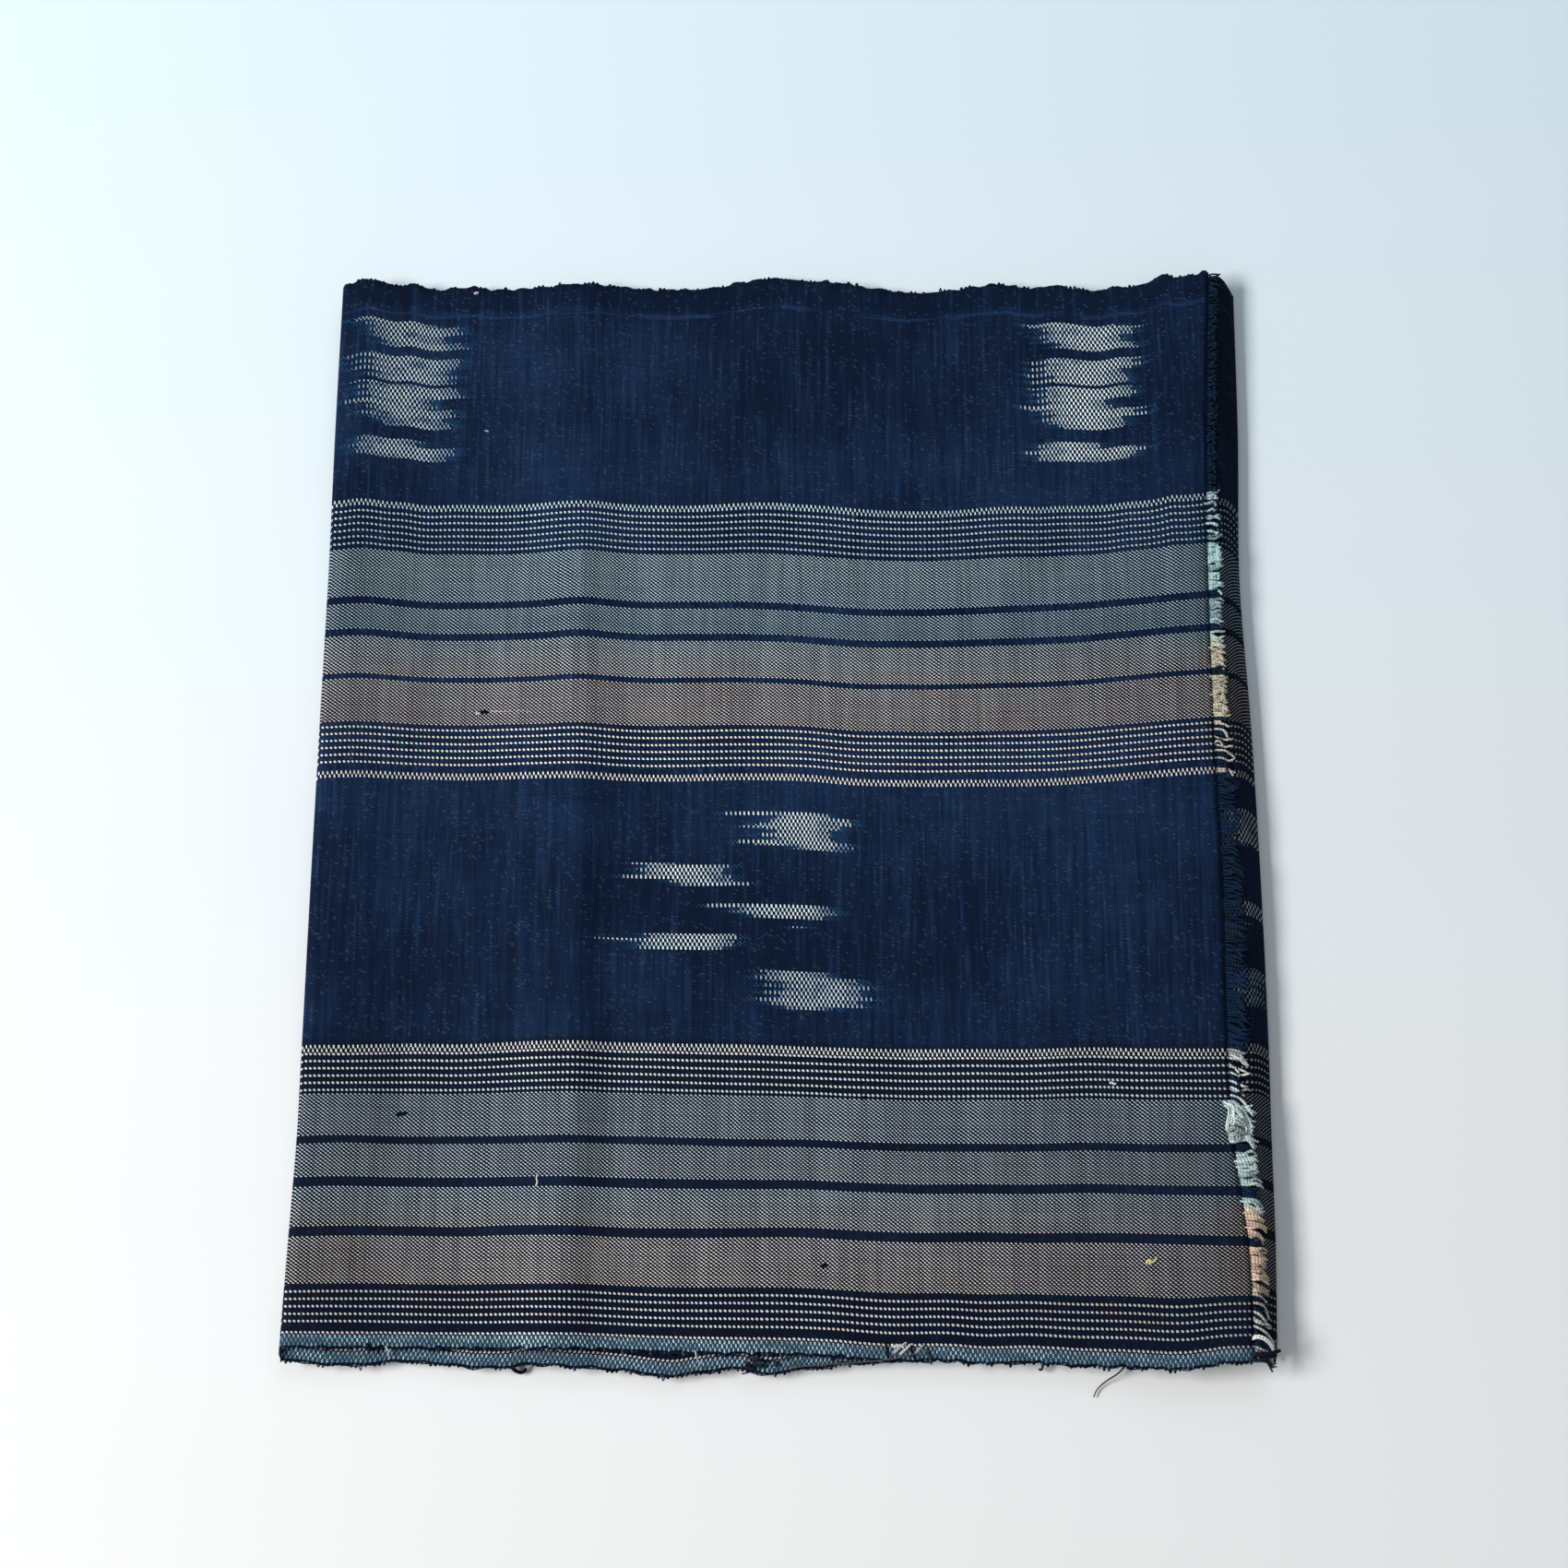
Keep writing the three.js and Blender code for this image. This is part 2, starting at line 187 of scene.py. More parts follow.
def right_fold_height(place):
    return between(RIGHT_FOLD_NEAR, RIGHT_FOLD_FAR, np.clip((place + HALF_LOOM) / (2 * HALF_LOOM), 0, 1))


def cockle(x, y):
    """Small uneven waves that cloth keeps from washing and from its folds."""
    waves = 0.16 * np.sin(0.21 * x + 0.013 * y + 0.6) * np.sin(0.031 * y + 0.9)
    waves += 0.12 * np.sin(0.37 * x - 0.021 * y + 2.1) * np.sin(0.047 * y - 0.4)
    waves += 0.07 * np.sin(0.094 * y + 0.05 * x + 1.3) * np.sin(0.11 * x)
    return waves


def layer_height(layer, x, y):
    """Height of the middle of a layer, from 1, the top one, to 4, the lowest."""
    left = 1 - eased(x - left_fold(y), TOP_FOLD_REACH, LEFT_LOFT)
    right = 1 - eased(right_fold(y) - x, RIGHT_FOLD_REACH, RIGHT_LOFT)
    height = CLOTH_THICK / 2 + 0 * x
    if layer == 4:
        return height
    height = height + between(LAYER_STEP, LOW_FOLD_HEIGHT, left)
    if layer == 3:
        return height
    near_share = np.clip((HALF_LOOM - y) / (2 * HALF_LOOM), 0, 1)
    lift_1 = 0 * x
    lift_2 = 0 * x
    for at, left_width, right_width, far_1, near_1, far_2, near_2 in RIDGES:
        width = np.where(x < at, left_width, right_width)
        swell = np.exp(-0.5 * ((x - at) / width) ** 2)
        lift_1 = lift_1 + swell * between(far_1, near_1, near_share)
        lift_2 = lift_2 + swell * between(far_2, near_2, near_share)
    height = height + LAYER_STEP + (right_fold_height(y) - LAYER_STEP) * right + lift_2
    if layer == 2:
        return height
    calm = eased(x - left_fold(y), TOP_FOLD_REACH, CALM_WIDTH)
    return height + between(LAYER_STEP, TOP_FOLD_HEIGHT, left) + lift_1 - lift_2 + cockle(x, y) * calm


def worn_edge(x, loom_place, layer):
    """How far wear moves the outermost ends in or out."""
    start = 1.9 * layer + np.where(loom_place > 0, 0.7, 3.1)
    wear = 0.42 * np.sin(1.31 * x + start) * np.sin(0.23 * x + 2 * start)
    wear += 0.3 * np.sin(2.17 * x + 1.3 * start) * np.sin(0.41 * x + start)
    wear += 0.16 * np.sin(0.67 * x + 2.1 * start)
    return wear * eased(np.abs(loom_place), HALF_LOOM - WORN_WIDTH, HALF_LOOM)


def cloth_place(layer, x, loom_place):
    """Place along Y of a warp end in a layer."""
    return steady_place(layer, x, loom_place) + worn_edge(x, loom_place, layer)


def steady_place(layer, x, loom_place):
    """Place along Y of a warp end in a layer, before wear."""
    share = (loom_place + HALF_LOOM) / (2 * HALF_LOOM)
    if layer > 2:
        return between(LOW_EDGES[layer][0], LOW_EDGES[layer][1], share) + 0 * x
    if layer == 2:
        return between(smooth_line(NEAR_EDGE_2, x), smooth_line(FAR_EDGE_2, x), share)
    lines = [smooth_line(FAR_EDGE_1, x)]
    for column in range(len(TRACK_PLACES)):
        lines.append(smooth_line(TRACKS, x, column + 1))
    lines.append(smooth_line(NEAR_EDGE_1, x))
    places = [HALF_LOOM] + TRACK_PLACES + [-HALF_LOOM]
    found = 0 * x
    for k in range(len(places) - 1):
        inside = (loom_place <= places[k]) & (loom_place >= places[k + 1])
        share = (loom_place - places[k + 1]) / (places[k] - places[k + 1])
        found = np.where(inside, between(lines[k + 1], lines[k], share), found)
    return found


def folded_row(loom_place):
    """Points along one warp end through all the layers and folds, from the unravelled end."""
    y = np.array([float(loom_place)])
    top_left = left_fold(y)[0] + TOP_FOLD_REACH
    right = right_fold(y)[0] - RIGHT_FOLD_REACH
    low_left = left_fold(y)[0] + LOW_FOLD_INSET + LOW_FOLD_REACH
    bends = (woven_end(y)[0], top_left, right, low_left, LOWEST_END)
    reaches = (TOP_FOLD_REACH, RIGHT_FOLD_REACH, LOW_FOLD_REACH, 0.0)
    points = []
    for layer in (1, 2, 3, 4):
        start, end = bends[layer - 1 : layer + 1]
        reach = reaches[layer - 1]
        x = between(start, end, np.linspace(0, 1, LAYER_STEPS[layer - 1] + 1))
        here = np.full_like(x, loom_place)
        z = layer_height(layer, x, here)
        points.append(np.stack([x, cloth_place(layer, x, here), z], 1))
        if layer == 4:
            break
        turn = np.linspace(0, math.pi, FOLD_STEPS + 2)[1:-1]
        at_end = np.array([end])
        upper = layer_height(layer, at_end, y)[0]
        lower = layer_height(layer + 1, at_end, y)[0]
        heading = np.sign(end - start)
        fold_x = end + heading * reach * np.sin(turn)
        fold_z = (upper + lower) / 2 + (upper - lower) / 2 * np.cos(turn)
        if layer == 2:
            turned = turn / math.pi
            fold_x = end + reach * smooth_line(FALL, turned, 1)
            fold_z = lower + (upper - lower) * smooth_line(FALL, turned, 2)
        above = cloth_place(layer, at_end, y)[0]
        below = cloth_place(layer + 1, at_end, y)[0]
        fold_y = between(above, below, eased(turn / math.pi, 0.25, 0.75))
        points.append(np.stack([fold_x, fold_y, fold_z], 1))
    return np.concatenate(points)


loom_places = np.linspace(-HALF_LOOM, HALF_LOOM, ACROSS_ROWS + 1)
middle = np.stack([folded_row(place) for place in loom_places])
steps = np.linalg.norm(np.diff(middle[:, :, (0, 2)], axis=1), axis=2)
warp_run = np.concatenate([np.zeros((len(middle), 1)), np.cumsum(steps, axis=1)], axis=1)
warp_run += RUN_START - middle[:, :1, 0]

along = np.gradient(middle, axis=1)
across = np.gradient(middle, axis=0)
square = np.cross(along, across)
square *= -1 / np.linalg.norm(square, axis=2)[:, :, None]
face = middle + square * CLOTH_THICK / 2
back = middle - square * CLOTH_THICK / 2


def closed_sheet(front, behind):
    """Points and quads of a closed sheet between two faces of points."""
    rows, columns = front.shape[:2]
    points = np.concatenate([front.reshape(-1, 3), behind.reshape(-1, 3)])
    number = np.arange(rows * columns).reshape(rows, columns)
    other = number + rows * columns

    def strip(a, b, c, d):
        return np.stack([a.ravel(), b.ravel(), c.ravel(), d.ravel()], 1)

    quads = [
        strip(number[:-1, :-1], number[1:, :-1], number[1:, 1:], number[:-1, 1:]),
        strip(other[:-1, :-1], other[:-1, 1:], other[1:, 1:], other[1:, :-1]),
        strip(number[0, :-1], number[0, 1:], other[0, 1:], other[0, :-1]),
        strip(number[-1, :-1], other[-1, :-1], other[-1, 1:], number[-1, 1:]),
        strip(number[:-1, 0], other[:-1, 0], other[1:, 0], number[1:, 0]),
        strip(number[:-1, -1], number[1:, -1], other[1:, -1], other[:-1, -1]),
    ]
    return points, np.concatenate(quads)


def woven_piece(name, points, faces, loom):
    """A piece from millimetre points, with each point's place on the loom kept on it."""
    placed = (points + np.array(CENTRED)) * MM
    mesh = bpy.data.meshes.new(name)
    mesh.from_pydata(placed.tolist(), [], [list(map(int, corners)) for corners in faces])
    mesh.update()
    mark = mesh.attributes.new("loom", "FLOAT_VECTOR", "POINT")
    mark.data.foreach_set("vector", loom.astype(np.float32).ravel())
    mesh.polygons.foreach_set("use_smooth", [True] * len(mesh.polygons))
    piece = bpy.data.objects.new(name, mesh)
    bpy.context.scene.collection.objects.link(piece)
    return piece


cloth_points, cloth_quads = closed_sheet(face, back)
cloth_marks = np.stack([warp_run, np.repeat(loom_places[:, None], warp_run.shape[1], 1), 0 * warp_run], 2)
cloth_marks = np.concatenate([cloth_marks.reshape(-1, 3)] * 2)
cloth = woven_piece("folded_cloth", cloth_points, cloth_quads, cloth_marks)


def dye(red, green, blue):
    """A colour seen as screen values from 0 to 255, as the light that it sends back."""
    seen = [value / 255 for value in (red, green, blue)]
    return tuple(((v + 0.055) / 1.055) ** 2.4 for v in seen) + (1.0,)


def feed(socket, value):
    """Link a value to a socket, or set the socket to a plain number or colour."""
    if isinstance(value, bpy.types.NodeSocket):
        socket.id_data.links.new(value, socket)
    else:
        socket.default_value = value


def new_node(kind, *values):
    """A new node in the tree that the values come from."""
    tree = [value for value in values if isinstance(value, bpy.types.NodeSocket)][0].id_data
    return tree.nodes.new("ShaderNode" + kind)


def sum_maker(operation):
    """A function that adds one sum of this kind to the values' tree and gives its result."""

    def add_sum(*values):
        node = new_node("Math", *values)
        node.operation = operation
        for socket, value in zip(node.inputs, values):
            feed(socket, value)
        return node.outputs[0]

    return add_sum


times = sum_maker("MULTIPLY")
plus = sum_maker("ADD")
minus = sum_maker("SUBTRACT")
divided = sum_maker("DIVIDE")
times_plus = sum_maker("MULTIPLY_ADD")
larger = sum_maker("MAXIMUM")
smaller = sum_maker("MINIMUM")
absolute = sum_maker("ABSOLUTE")
floored = sum_maker("FLOOR")
remainder = sum_maker("MODULO")
rounded = sum_maker("ROUND")
cosine = sum_maker("COSINE")
sine = sum_maker("SINE")
raised = sum_maker("POWER")
exceeds = sum_maker("GREATER_THAN")


def rising(value, low, high, first=0.0, last=1.0):
    """first below low, last above high, and a soft change between."""
    node = new_node("MapRange", value)
    node.interpolation_type = "SMOOTHSTEP"
    feed(node.inputs["Value"], value)
    for name, limit in (("From Min", low), ("From Max", high), ("To Min", first), ("To Max", last)):
        feed(node.inputs[name], limit)
    return node.outputs["Result"]


def spot_of(first, second, third=0.0):
    node = new_node("CombineXYZ", first, second)
    for socket, value in zip(node.inputs, (first, second, third)):
        feed(socket, value)
    return node.outputs[0]


def uneven(run, run_size, place, place_size, seed, detail=2.0):
    """Soft noise over two places, with the size of its patches along each."""
    node = new_node("TexNoise", run)
    node.inputs["Scale"].default_value = 1.0
    node.inputs["Detail"].default_value = detail
    feed(node.inputs["Vector"], spot_of(divided(run, run_size), divided(place, place_size), seed))
    return node.outputs["Fac"]


def chance(first, second):
    """A number from 0 to 1 by chance, the same for the same pair."""
    node = new_node("TexWhiteNoise", first)
    node.noise_dimensions = "2D"
    feed(node.inputs["Vector"], spot_of(first, second))
    return node.outputs["Value"]


def blend(share, first, second):
    """One colour over another."""
    node = new_node("Mix", share)
    node.data_type = "RGBA"
    for number, value in ((0, share), (6, first), (7, second)):
        feed(node.inputs[number], value)
    return node.outputs[2]


def blend_number(share, first, second):
    node = new_node("Mix", share)
    for number, value in ((0, share), (2, first), (3, second)):
        feed(node.inputs[number], value)
    return node.outputs[0]


def looked_up_by(place, low, high, steps, smooth):
    """A ramp looked up by place: steps are (place, colour), rising."""
    node = new_node("ValToRGB", place)
    ramp = node.color_ramp
    ramp.interpolation = "LINEAR" if smooth else "CONSTANT"
    ramp.elements[1].position = (steps[-1][0] - low) / (high - low)
    for at, colour in steps[1:-1]:
        ramp.elements.new((at - low) / (high - low))
    for element, (at, colour) in zip(ramp.elements, steps):
        element.color = colour
    feed(node.inputs["Fac"], divided(minus(place, low), high - low))
    return node.outputs


def marked_bands(place, stops):
    """The four numbers kept for the band that a place lies in; the stops are (place, numbers)."""
    outputs = looked_up_by(place, stops[0][0], stops[-1][0] + BAND_MARGIN, stops, False)
    split = new_node("SeparateColor", place)
    feed(split.inputs[0], outputs["Color"])
    return list(split.outputs) + [outputs["Alpha"]]


def dyed_by(place, rows):
    """A colour that runs softly from dye to dye across the loom."""
    steps = [(row[0], dye(*row[1:])) for row in rows]
    return looked_up_by(place, -HALF_LOOM, HALF_LOOM, steps, True)["Color"]


def effect(name, inputs, numbers, colours=()):
    """An empty shader effect with named number inputs and named number and colour outputs."""
    tree = bpy.data.node_groups.new(name, "ShaderNodeTree")
    for label in inputs:
        tree.interface.new_socket(label, in_out="INPUT", socket_type="NodeSocketFloat")
    for label in numbers:
        tree.interface.new_socket(label, in_out="OUTPUT", socket_type="NodeSocketFloat")
    for label in colours:
        tree.interface.new_socket(label, in_out="OUTPUT", socket_type="NodeSocketColor")
    return tree, tree.nodes.new("NodeGroupInput").outputs, tree.nodes.new("NodeGroupOutput").inputs


def apply_effect(effect_tree, **values):
    """An effect in the tree that its values come from."""
    node = new_node("Group", *values.values())
    node.node_tree = effect_tree
    for name, value in values.items():
        feed(node.inputs[name.replace("_", " ")], value)
    return node.outputs


# Plain weave: which thread is on top, how high it stands, and the numbers of pick and end
PICK_PITCH = 0.68
END_PITCH = 0.55
SLANT = -0.75
PAIR_SLANT = -0.3
CHECK_SLANT = -0.06
PAIR_ROUNDING = -0.5
PAIR_CORE = (-2.5, 0.7)
PICK_DRIFT = 4.0
END_DRIFT = 0.7

plain_weave, given, made = effect(
    "plain weave", ["Warp Run", "Loom Place", "Unevenness"],
    ["Warp Over", "Checked Over", "Pair Over", "Thread Height", "Pick", "End", "End Place"],
)
pick_drift = uneven(given["Warp Run"], 17.0, given["Loom Place"], 60.0, 1.5)
end_drift = uneven(given["Warp Run"], 30.0, given["Loom Place"], 6.0, 4.5)
pick_drift = times(minus(pick_drift, 0.5), PICK_DRIFT)
end_drift = times(minus(end_drift, 0.5), END_DRIFT)
run = times_plus(pick_drift, given["Unevenness"], given["Warp Run"])
place = times_plus(end_drift, given["Unevenness"], given["Loom Place"])
run = divided(run, PICK_PITCH)
place = divided(place, END_PITCH)
end_number = rounded(place)
across_end = minus(place, end_number)
straight_run = run
run = times_plus(across_end, SLANT, run)
pick_wave = cosine(times(run, math.pi))
end_wave = cosine(times(place, math.pi))
over = times(pick_wave, end_wave)
pair_number = floored(divided(end_number, 2.0))
pair_turn = times(pair_number, math.pi)
pair_slide = minus(place, times(pair_number, 2.0))
pair_slide = minus(pair_slide, 0.5)
pair_side = times(pair_slide, pair_slide)
pair_round = times_plus(pair_side, PAIR_ROUNDING, 1.0)
pair_core = times_plus(pair_side, *PAIR_CORE)
for label, slant, core in (("Pair Over", PAIR_SLANT, pair_core), ("Checked Over", CHECK_SLANT, 0.0)):
    pair_run = times_plus(pair_slide, slant, straight_run)
    pair_wave = cosine(times_plus(pair_run, math.pi, pair_turn))
    feed(made[label], times_plus(pair_wave, pair_round, core))
crown = absolute(over)
valley = minus(1.0, crown)
height = minus(1.0, times(valley, valley))
feed(made["Warp Over"], over)
feed(made["Thread Height"], height)
feed(made["Pick"], rounded(run))
feed(made["End"], end_number)
feed(made["End Place"], times(end_number, END_PITCH))

# Stripe order: the undyed warp ends, as (low, high) places across the loom. Each block of bands
# is looked up on a ramp of its own.
def fine_lines(*first_ends):
    """Lines of two warp ends that rise together, each from the number of its lower end."""
    return [((end - 0.5) * END_PITCH, (end + 1.5) * END_PITCH) for end in first_ends]


STRIPE_BLOCKS = [
    [(35.9, 48.0), (50.2, 58.8), (61.0, 76.4), *fine_lines(142, 146, 150, 154, 158, 162), (91.1, 93.3)],
    [(3.1, 5.3), *fine_lines(14, 18, 22, 26, 30, 34), (20.4, 34.1)],
    [(-117.8, -108.0), (-105.9, -93.1), *fine_lines(-168, -164, -160, -156, -152, -148), (-80.5, -78.3)],
    [(-167.4, -164.4), *fine_lines(-298, -292, -288, -284, -280, -276), (-149.2, -135.0), (-132.4, -120.9)],
]

# What a band is: pale, drawn with ends that rise in pairs, and drawn with checked pairs
DARK = (0.0, 0.0, 0.0, 1.0)
PALE = (1.0, 0.0, 0.0, 1.0)
PALE_PAIR = (1.0, 1.0, 0.0, 1.0)
PALE_DOUBLE = (1.0, 1.0, 1.0, 1.0)
WIDEST_SINGLE = 1.5
WIDEST_DOUBLE = 3.2
BAND_MARGIN = 2.0

stripe_order, given, made = effect("stripe order", ["End Place"], ["Pale Warp", "Paired", "Doubled"])
found = [0.0, 0.0, 0.0]
for bands in STRIPE_BLOCKS:
    stops = [(bands[0][0] - BAND_MARGIN, DARK)]
    for low, high in bands:
        kind = PALE_DOUBLE if high - low < WIDEST_DOUBLE else PALE
        if high - low < WIDEST_SINGLE:
            kind = PALE_PAIR
        stops += [(low, kind), (high, DARK)]
    found = [larger(new, old) for new, old in zip(marked_bands(given["End Place"], stops), found)]
for label, value in zip(("Pale Warp", "Paired", "Doubled"), found):
    feed(made[label], value)

# Ikat bars: warp ends tied off before dyeing. Each row is (low, high) across the loom, the start
# and end of the bar along the warp, and how far its longest ends run on beyond each.
REPEAT = 217.6
RUN_ON = 20.0
FEW_LONG = 2.6
ODD_RUN_ON = (0.35, 0.5)
EVEN_RUN_ON = 0.15
BAR_FADE = (-0.5, 0.9)
NO_BAR = (0.0, 0.0, 0.0, 0.0)
FAR_BARS = [
    (108.1, 109.8, 30, 55, 4, 4), (109.8, 112.6, 27, 58, 6, 5), (112.6, 114.4, 39, 56, 4, 4),
    (118.7, 120.5, 30, 50, 3, 2), (120.5, 122.5, 31, 54, 4, 5), (122.5, 125.3, 28, 53, 6, 4),
    (125.3, 127, 36, 60, 4, 4), (127, 129.5, 36, 54, 3, 6), (129.5, 133.6, 28, 55, 5, 7),
    (134.2, 137.5, 29, 52, 4, 9), (137.5, 139.5, 31, 54, 4, 8), (139.5, 143.4, 27, 54, 5, 9),
    (146.6, 149, 26, 50, 4, 3), (149, 151.5, 31, 54, 3, 3), (151.5, 154.2, 27, 54, 5, 4),
    (154.2, 155.2, 34, 61, 4, 1),
]
MIDDLE_BARS = [
    (-67.5, -66.5, 124, 137, 2, 3), (-66.5, -65, 115, 144, 7, 9), (-65, -63.4, 117, 140, 9, 10),
    (-63.4, -59.4, 116, 138, 6, 9), (-59.4, -57.6, 118, 144, 12, 7), (-57.6, -56, 126, 145, 2, 4),
    (-49.8, -48.8, 158, 180, 3, 4), (-48.8, -47.1, 155, 183, 4, 4), (-47.1, -46.4, 158, 196.5, 4, 1),
    (-46.4, -45, 154, 180, 4, 4), (-42.9, -42.2, 133.5, 137, 0.5, 0.5), (-39.9, -38.6, 128, 149, 2, 3),
    (-38.6, -36.6, 125, 153, 3, 3), (-36.6, -35.4, 126, 156, 3, 7), (-29.9, -29.3, 149, 170, 1, 2),
    (-29.3, -27.6, 156, 174, 3, 3), (-27.6, -26.6, 155, 187, 2, 3), (-26.6, -23.7, 158, 181, 3, 5),
    (-23.7, -22.9, 172, 186, 3, 2), (-18.6, -17.7, 122, 135, 2, 2), (-17.7, -15.8, 119, 148, 4, 8),
    (-15.8, -12.2, 125, 142, 3, 6), (-12.2, -10.4, 122, 147, 3, 10), (-10.4, -8.2, 119, 142, 6, 4),
    (-8.2, -7.2, 128, 154, 3, 4),
]

ikat_bars, given, made = effect("ikat bars", ["Warp Run", "End", "End Place"], ["Bound", "Half Dyed"])
run = given["Warp Run"]
repeat_number = floored(divided(run, REPEAT))
repeat_run = minus(run, times(repeat_number, REPEAT))
pair = floored(divided(given["End"], 2.0))
odd = absolute(remainder(pair, 2.0))
start_chance = chance(pair, plus(repeat_number, 3.0))
end_chance = chance(pair, plus(repeat_number, 9.0))
long_start = raised(start_chance, FEW_LONG)
long_end = plus(times(odd, times_plus(end_chance, *ODD_RUN_ON)), times(end_chance, EVEN_RUN_ON))
bound = 0.0
half_dyed = 0.0
for bars in (FAR_BARS, MIDDLE_BARS):
    stops = [(bars[0][0] - BAND_MARGIN, NO_BAR)]
    for low, high, start, end, before, after in bars:
        if stops[-1][0] == low:
            stops.pop()
        stops.append((low, (start / REPEAT, end / REPEAT, before / RUN_ON, after / RUN_ON)))
        stops.append((high, NO_BAR))
    start, end, before, after = marked_bands(given["End Place"], stops)
    start = minus(times(start, REPEAT), times(times(before, RUN_ON), long_start))
    end = plus(times(end, REPEAT), times(times(after, RUN_ON), long_end))
    inner = smaller(minus(repeat_run, start), minus(end, repeat_run))
    used = exceeds(end, 5.0)
    bound = plus(bound, times(used, rising(inner, *BAR_FADE)))
    stained = times(rising(inner, -5.0, -0.5), rising(inner, 9.0, 1.5))
    half_dyed = plus(half_dyed, times(used, stained))
feed(made["Bound"], bound)
feed(made["Half Dyed"], half_dyed)

# Indigo yarn: many dips, worn unevenly, with lighter slubs along each thread
INDIGO_DEEP = dye(10, 24, 48)
INDIGO_WORN = dye(27, 49, 82)
INDIGO_SLUB = dye(48, 76, 114)
INDIGO_LINT = dye(120, 150, 180)
INDIGO_NEAR = dye(12, 17, 26)

indigo_yarn, given, made = effect(
    "indigo yarn", ["Warp Run", "Loom Place", "Pick", "End"], [], ["Warp Dye", "Weft Dye"]
)
run = given["Warp Run"]
place = given["Loom Place"]
faded = uneven(run, 60.0, place, 45.0, 2.5, 3.0)
weft_slub = uneven(given["Pick"], 1 / 1.7, place, 19.0, 7.5, 4.0)
warp_slub = uneven(run, 11.0, given["End"], 1 / 0.9, 12.5)
from_line = absolute(minus(place, 158.4))
line_fade = times(rising(from_line, 1.1, 0.2, 0.0, 0.5), rising(warp_slub, 0.4, 0.6))
dark_edge = rising(place, 159.5, 162.0, 0.0, -0.16)
near_edge = rising(place, -149.0, -151.5, 0.0, -0.3)
dark_edge = plus(dark_edge, near_edge)
faded = plus(faded, plus(line_fade, dark_edge))
pick_chance = chance(given["Pick"], 5.0)
pick_shift = times_plus(pick_chance, 0.14, -0.07)
weft_slub_tone = plus(weft_slub, pick_shift)
weft_tone = rising(plus(weft_slub_tone, faded), 0.75, 1.35)
warp_tone = rising(plus(warp_slub, faded), 0.85, 1.45)
worn_chance = chance(given["Pick"], given["End"])
worn_patch = uneven(run, 9.0, place, 7.0, 17.5, 3.0)
worn_limit = rising(worn_patch, 0.35, 0.75, 0.985, 0.9)
worn_spot = exceeds(worn_chance, worn_limit)
weft_dye = blend(weft_tone, INDIGO_DEEP, INDIGO_WORN)
weft_dye = blend(rising(weft_slub, 0.55, 0.8, 0.0, 0.4), weft_dye, INDIGO_SLUB)
warp_dye = blend(warp_tone, INDIGO_DEEP, INDIGO_WORN)
worn_share = times(worn_spot, rising(worn_chance, 0.9, 1.0, 0.02, 0.1))
warp_dye = blend(worn_share, warp_dye, INDIGO_LINT)
weft_dye = blend(worn_share, weft_dye, INDIGO_LINT)
near_dark = rising(place, -75.5, -79.0, 0.0, 0.65)
feed(made["Warp Dye"], blend(near_dark, warp_dye, INDIGO_NEAR))
feed(made["Weft Dye"], blend(near_dark, weft_dye, INDIGO_NEAR))

# Pale yarn: undyed or lightly dipped cotton, teal by the dark stripes and brownish elsewhere
PALE_DYES = [
    (-168, 186, 226, 240), (-164.4, 200, 232, 244), (-164.2, 226, 228, 232), (-150, 218, 220, 224),
    (-149, 222, 216, 212), (-135, 225, 222, 221), (-132, 221, 221, 221), (-121, 208, 226, 236),
    (-117, 205, 212, 222), (-94, 192, 212, 224), (-92, 218, 230, 236), (-78, 240, 240, 240),
    (3, 243, 243, 243), (19, 243, 243, 243), (21, 224, 216, 212), (34, 226, 225, 224), (37, 231, 229, 227),
    (47, 214, 229, 234), (50, 176, 203, 217), (62, 194, 219, 233), (76, 198, 226, 236),
    (79, 183, 208, 226), (93, 211, 234, 243), (168, 239, 243, 243),
]
END_DYES = [
    (-168, 120, 160, 180), (-150, 196, 190, 182), (-148, 206, 186, 160), (-134, 204, 180, 156),
    (-123.5, 196, 180, 162), (-121.5, 130, 176, 190), (-94, 150, 186, 192), (-80, 196, 204, 206),
    (4, 208, 200, 188), (22, 188, 182, 160), (42, 190, 184, 164), (47, 128, 172, 184), (76, 128, 176, 190),
    (94, 150, 188, 200), (168, 90, 120, 150),
]
PEACH = dye(226, 190, 160)
PALE_DARKENING = dye(30, 34, 42)
RUBBED_TEAL = dye(70, 108, 134)

pale_yarn, given, made = effect("pale yarn", ["Warp Run", "Loom Place"], [], ["Pale Dye"])
run = given["Warp Run"]
place = given["Loom Place"]
usual = dyed_by(place, PALE_DYES)
by_fringe = dyed_by(place, END_DYES)
blotch = uneven(run, 16.0, place, 5.0, 21.5, 3.0)
brownish = plus(rising(place, -134.0, -137.0), times(rising(place, 43.0, 38.0), rising(place, 16.0, 20.0)))
peach_share = times(rising(blotch, 0.54, 0.72, 0.0, 0.42), brownish)
usual = blend(peach_share, usual, PEACH)
usual = blend(rising(run, 19.0, 4.0, 0.0, 0.6), usual, by_fringe)
# Painted shade: pale threads darken toward the unravelled end and the near right corner, where the light
# from the left falls off. They darken also toward the left fold and beyond it
pale_darkening = plus(rising(run, 110.0, 15.0, 0.0, 0.2), rising(run, 205.0, 270.0, 0.0, 0.17))
near_painted_shade = times(rising(run, 110.0, 15.0), rising(place, -90.0, -110.0, 0.0, 0.12))
pale_darkening = plus(pale_darkening, near_painted_shade)
usual = blend(pale_darkening, usual, PALE_DARKENING)
rubbed = uneven(run, 1.5, place, 0.8, 27.5, 3.0)
rubbed = times_plus(blotch, 0.6, times(rubbed, 0.6))
edge_patch = times(rising(place, -164.2, -164.6), rising(rubbed, 0.52, 0.66, 0.0, 0.8))
usual = blend(edge_patch, usual, RUBBED_TEAL)
feed(made["Pale Dye"], usual)

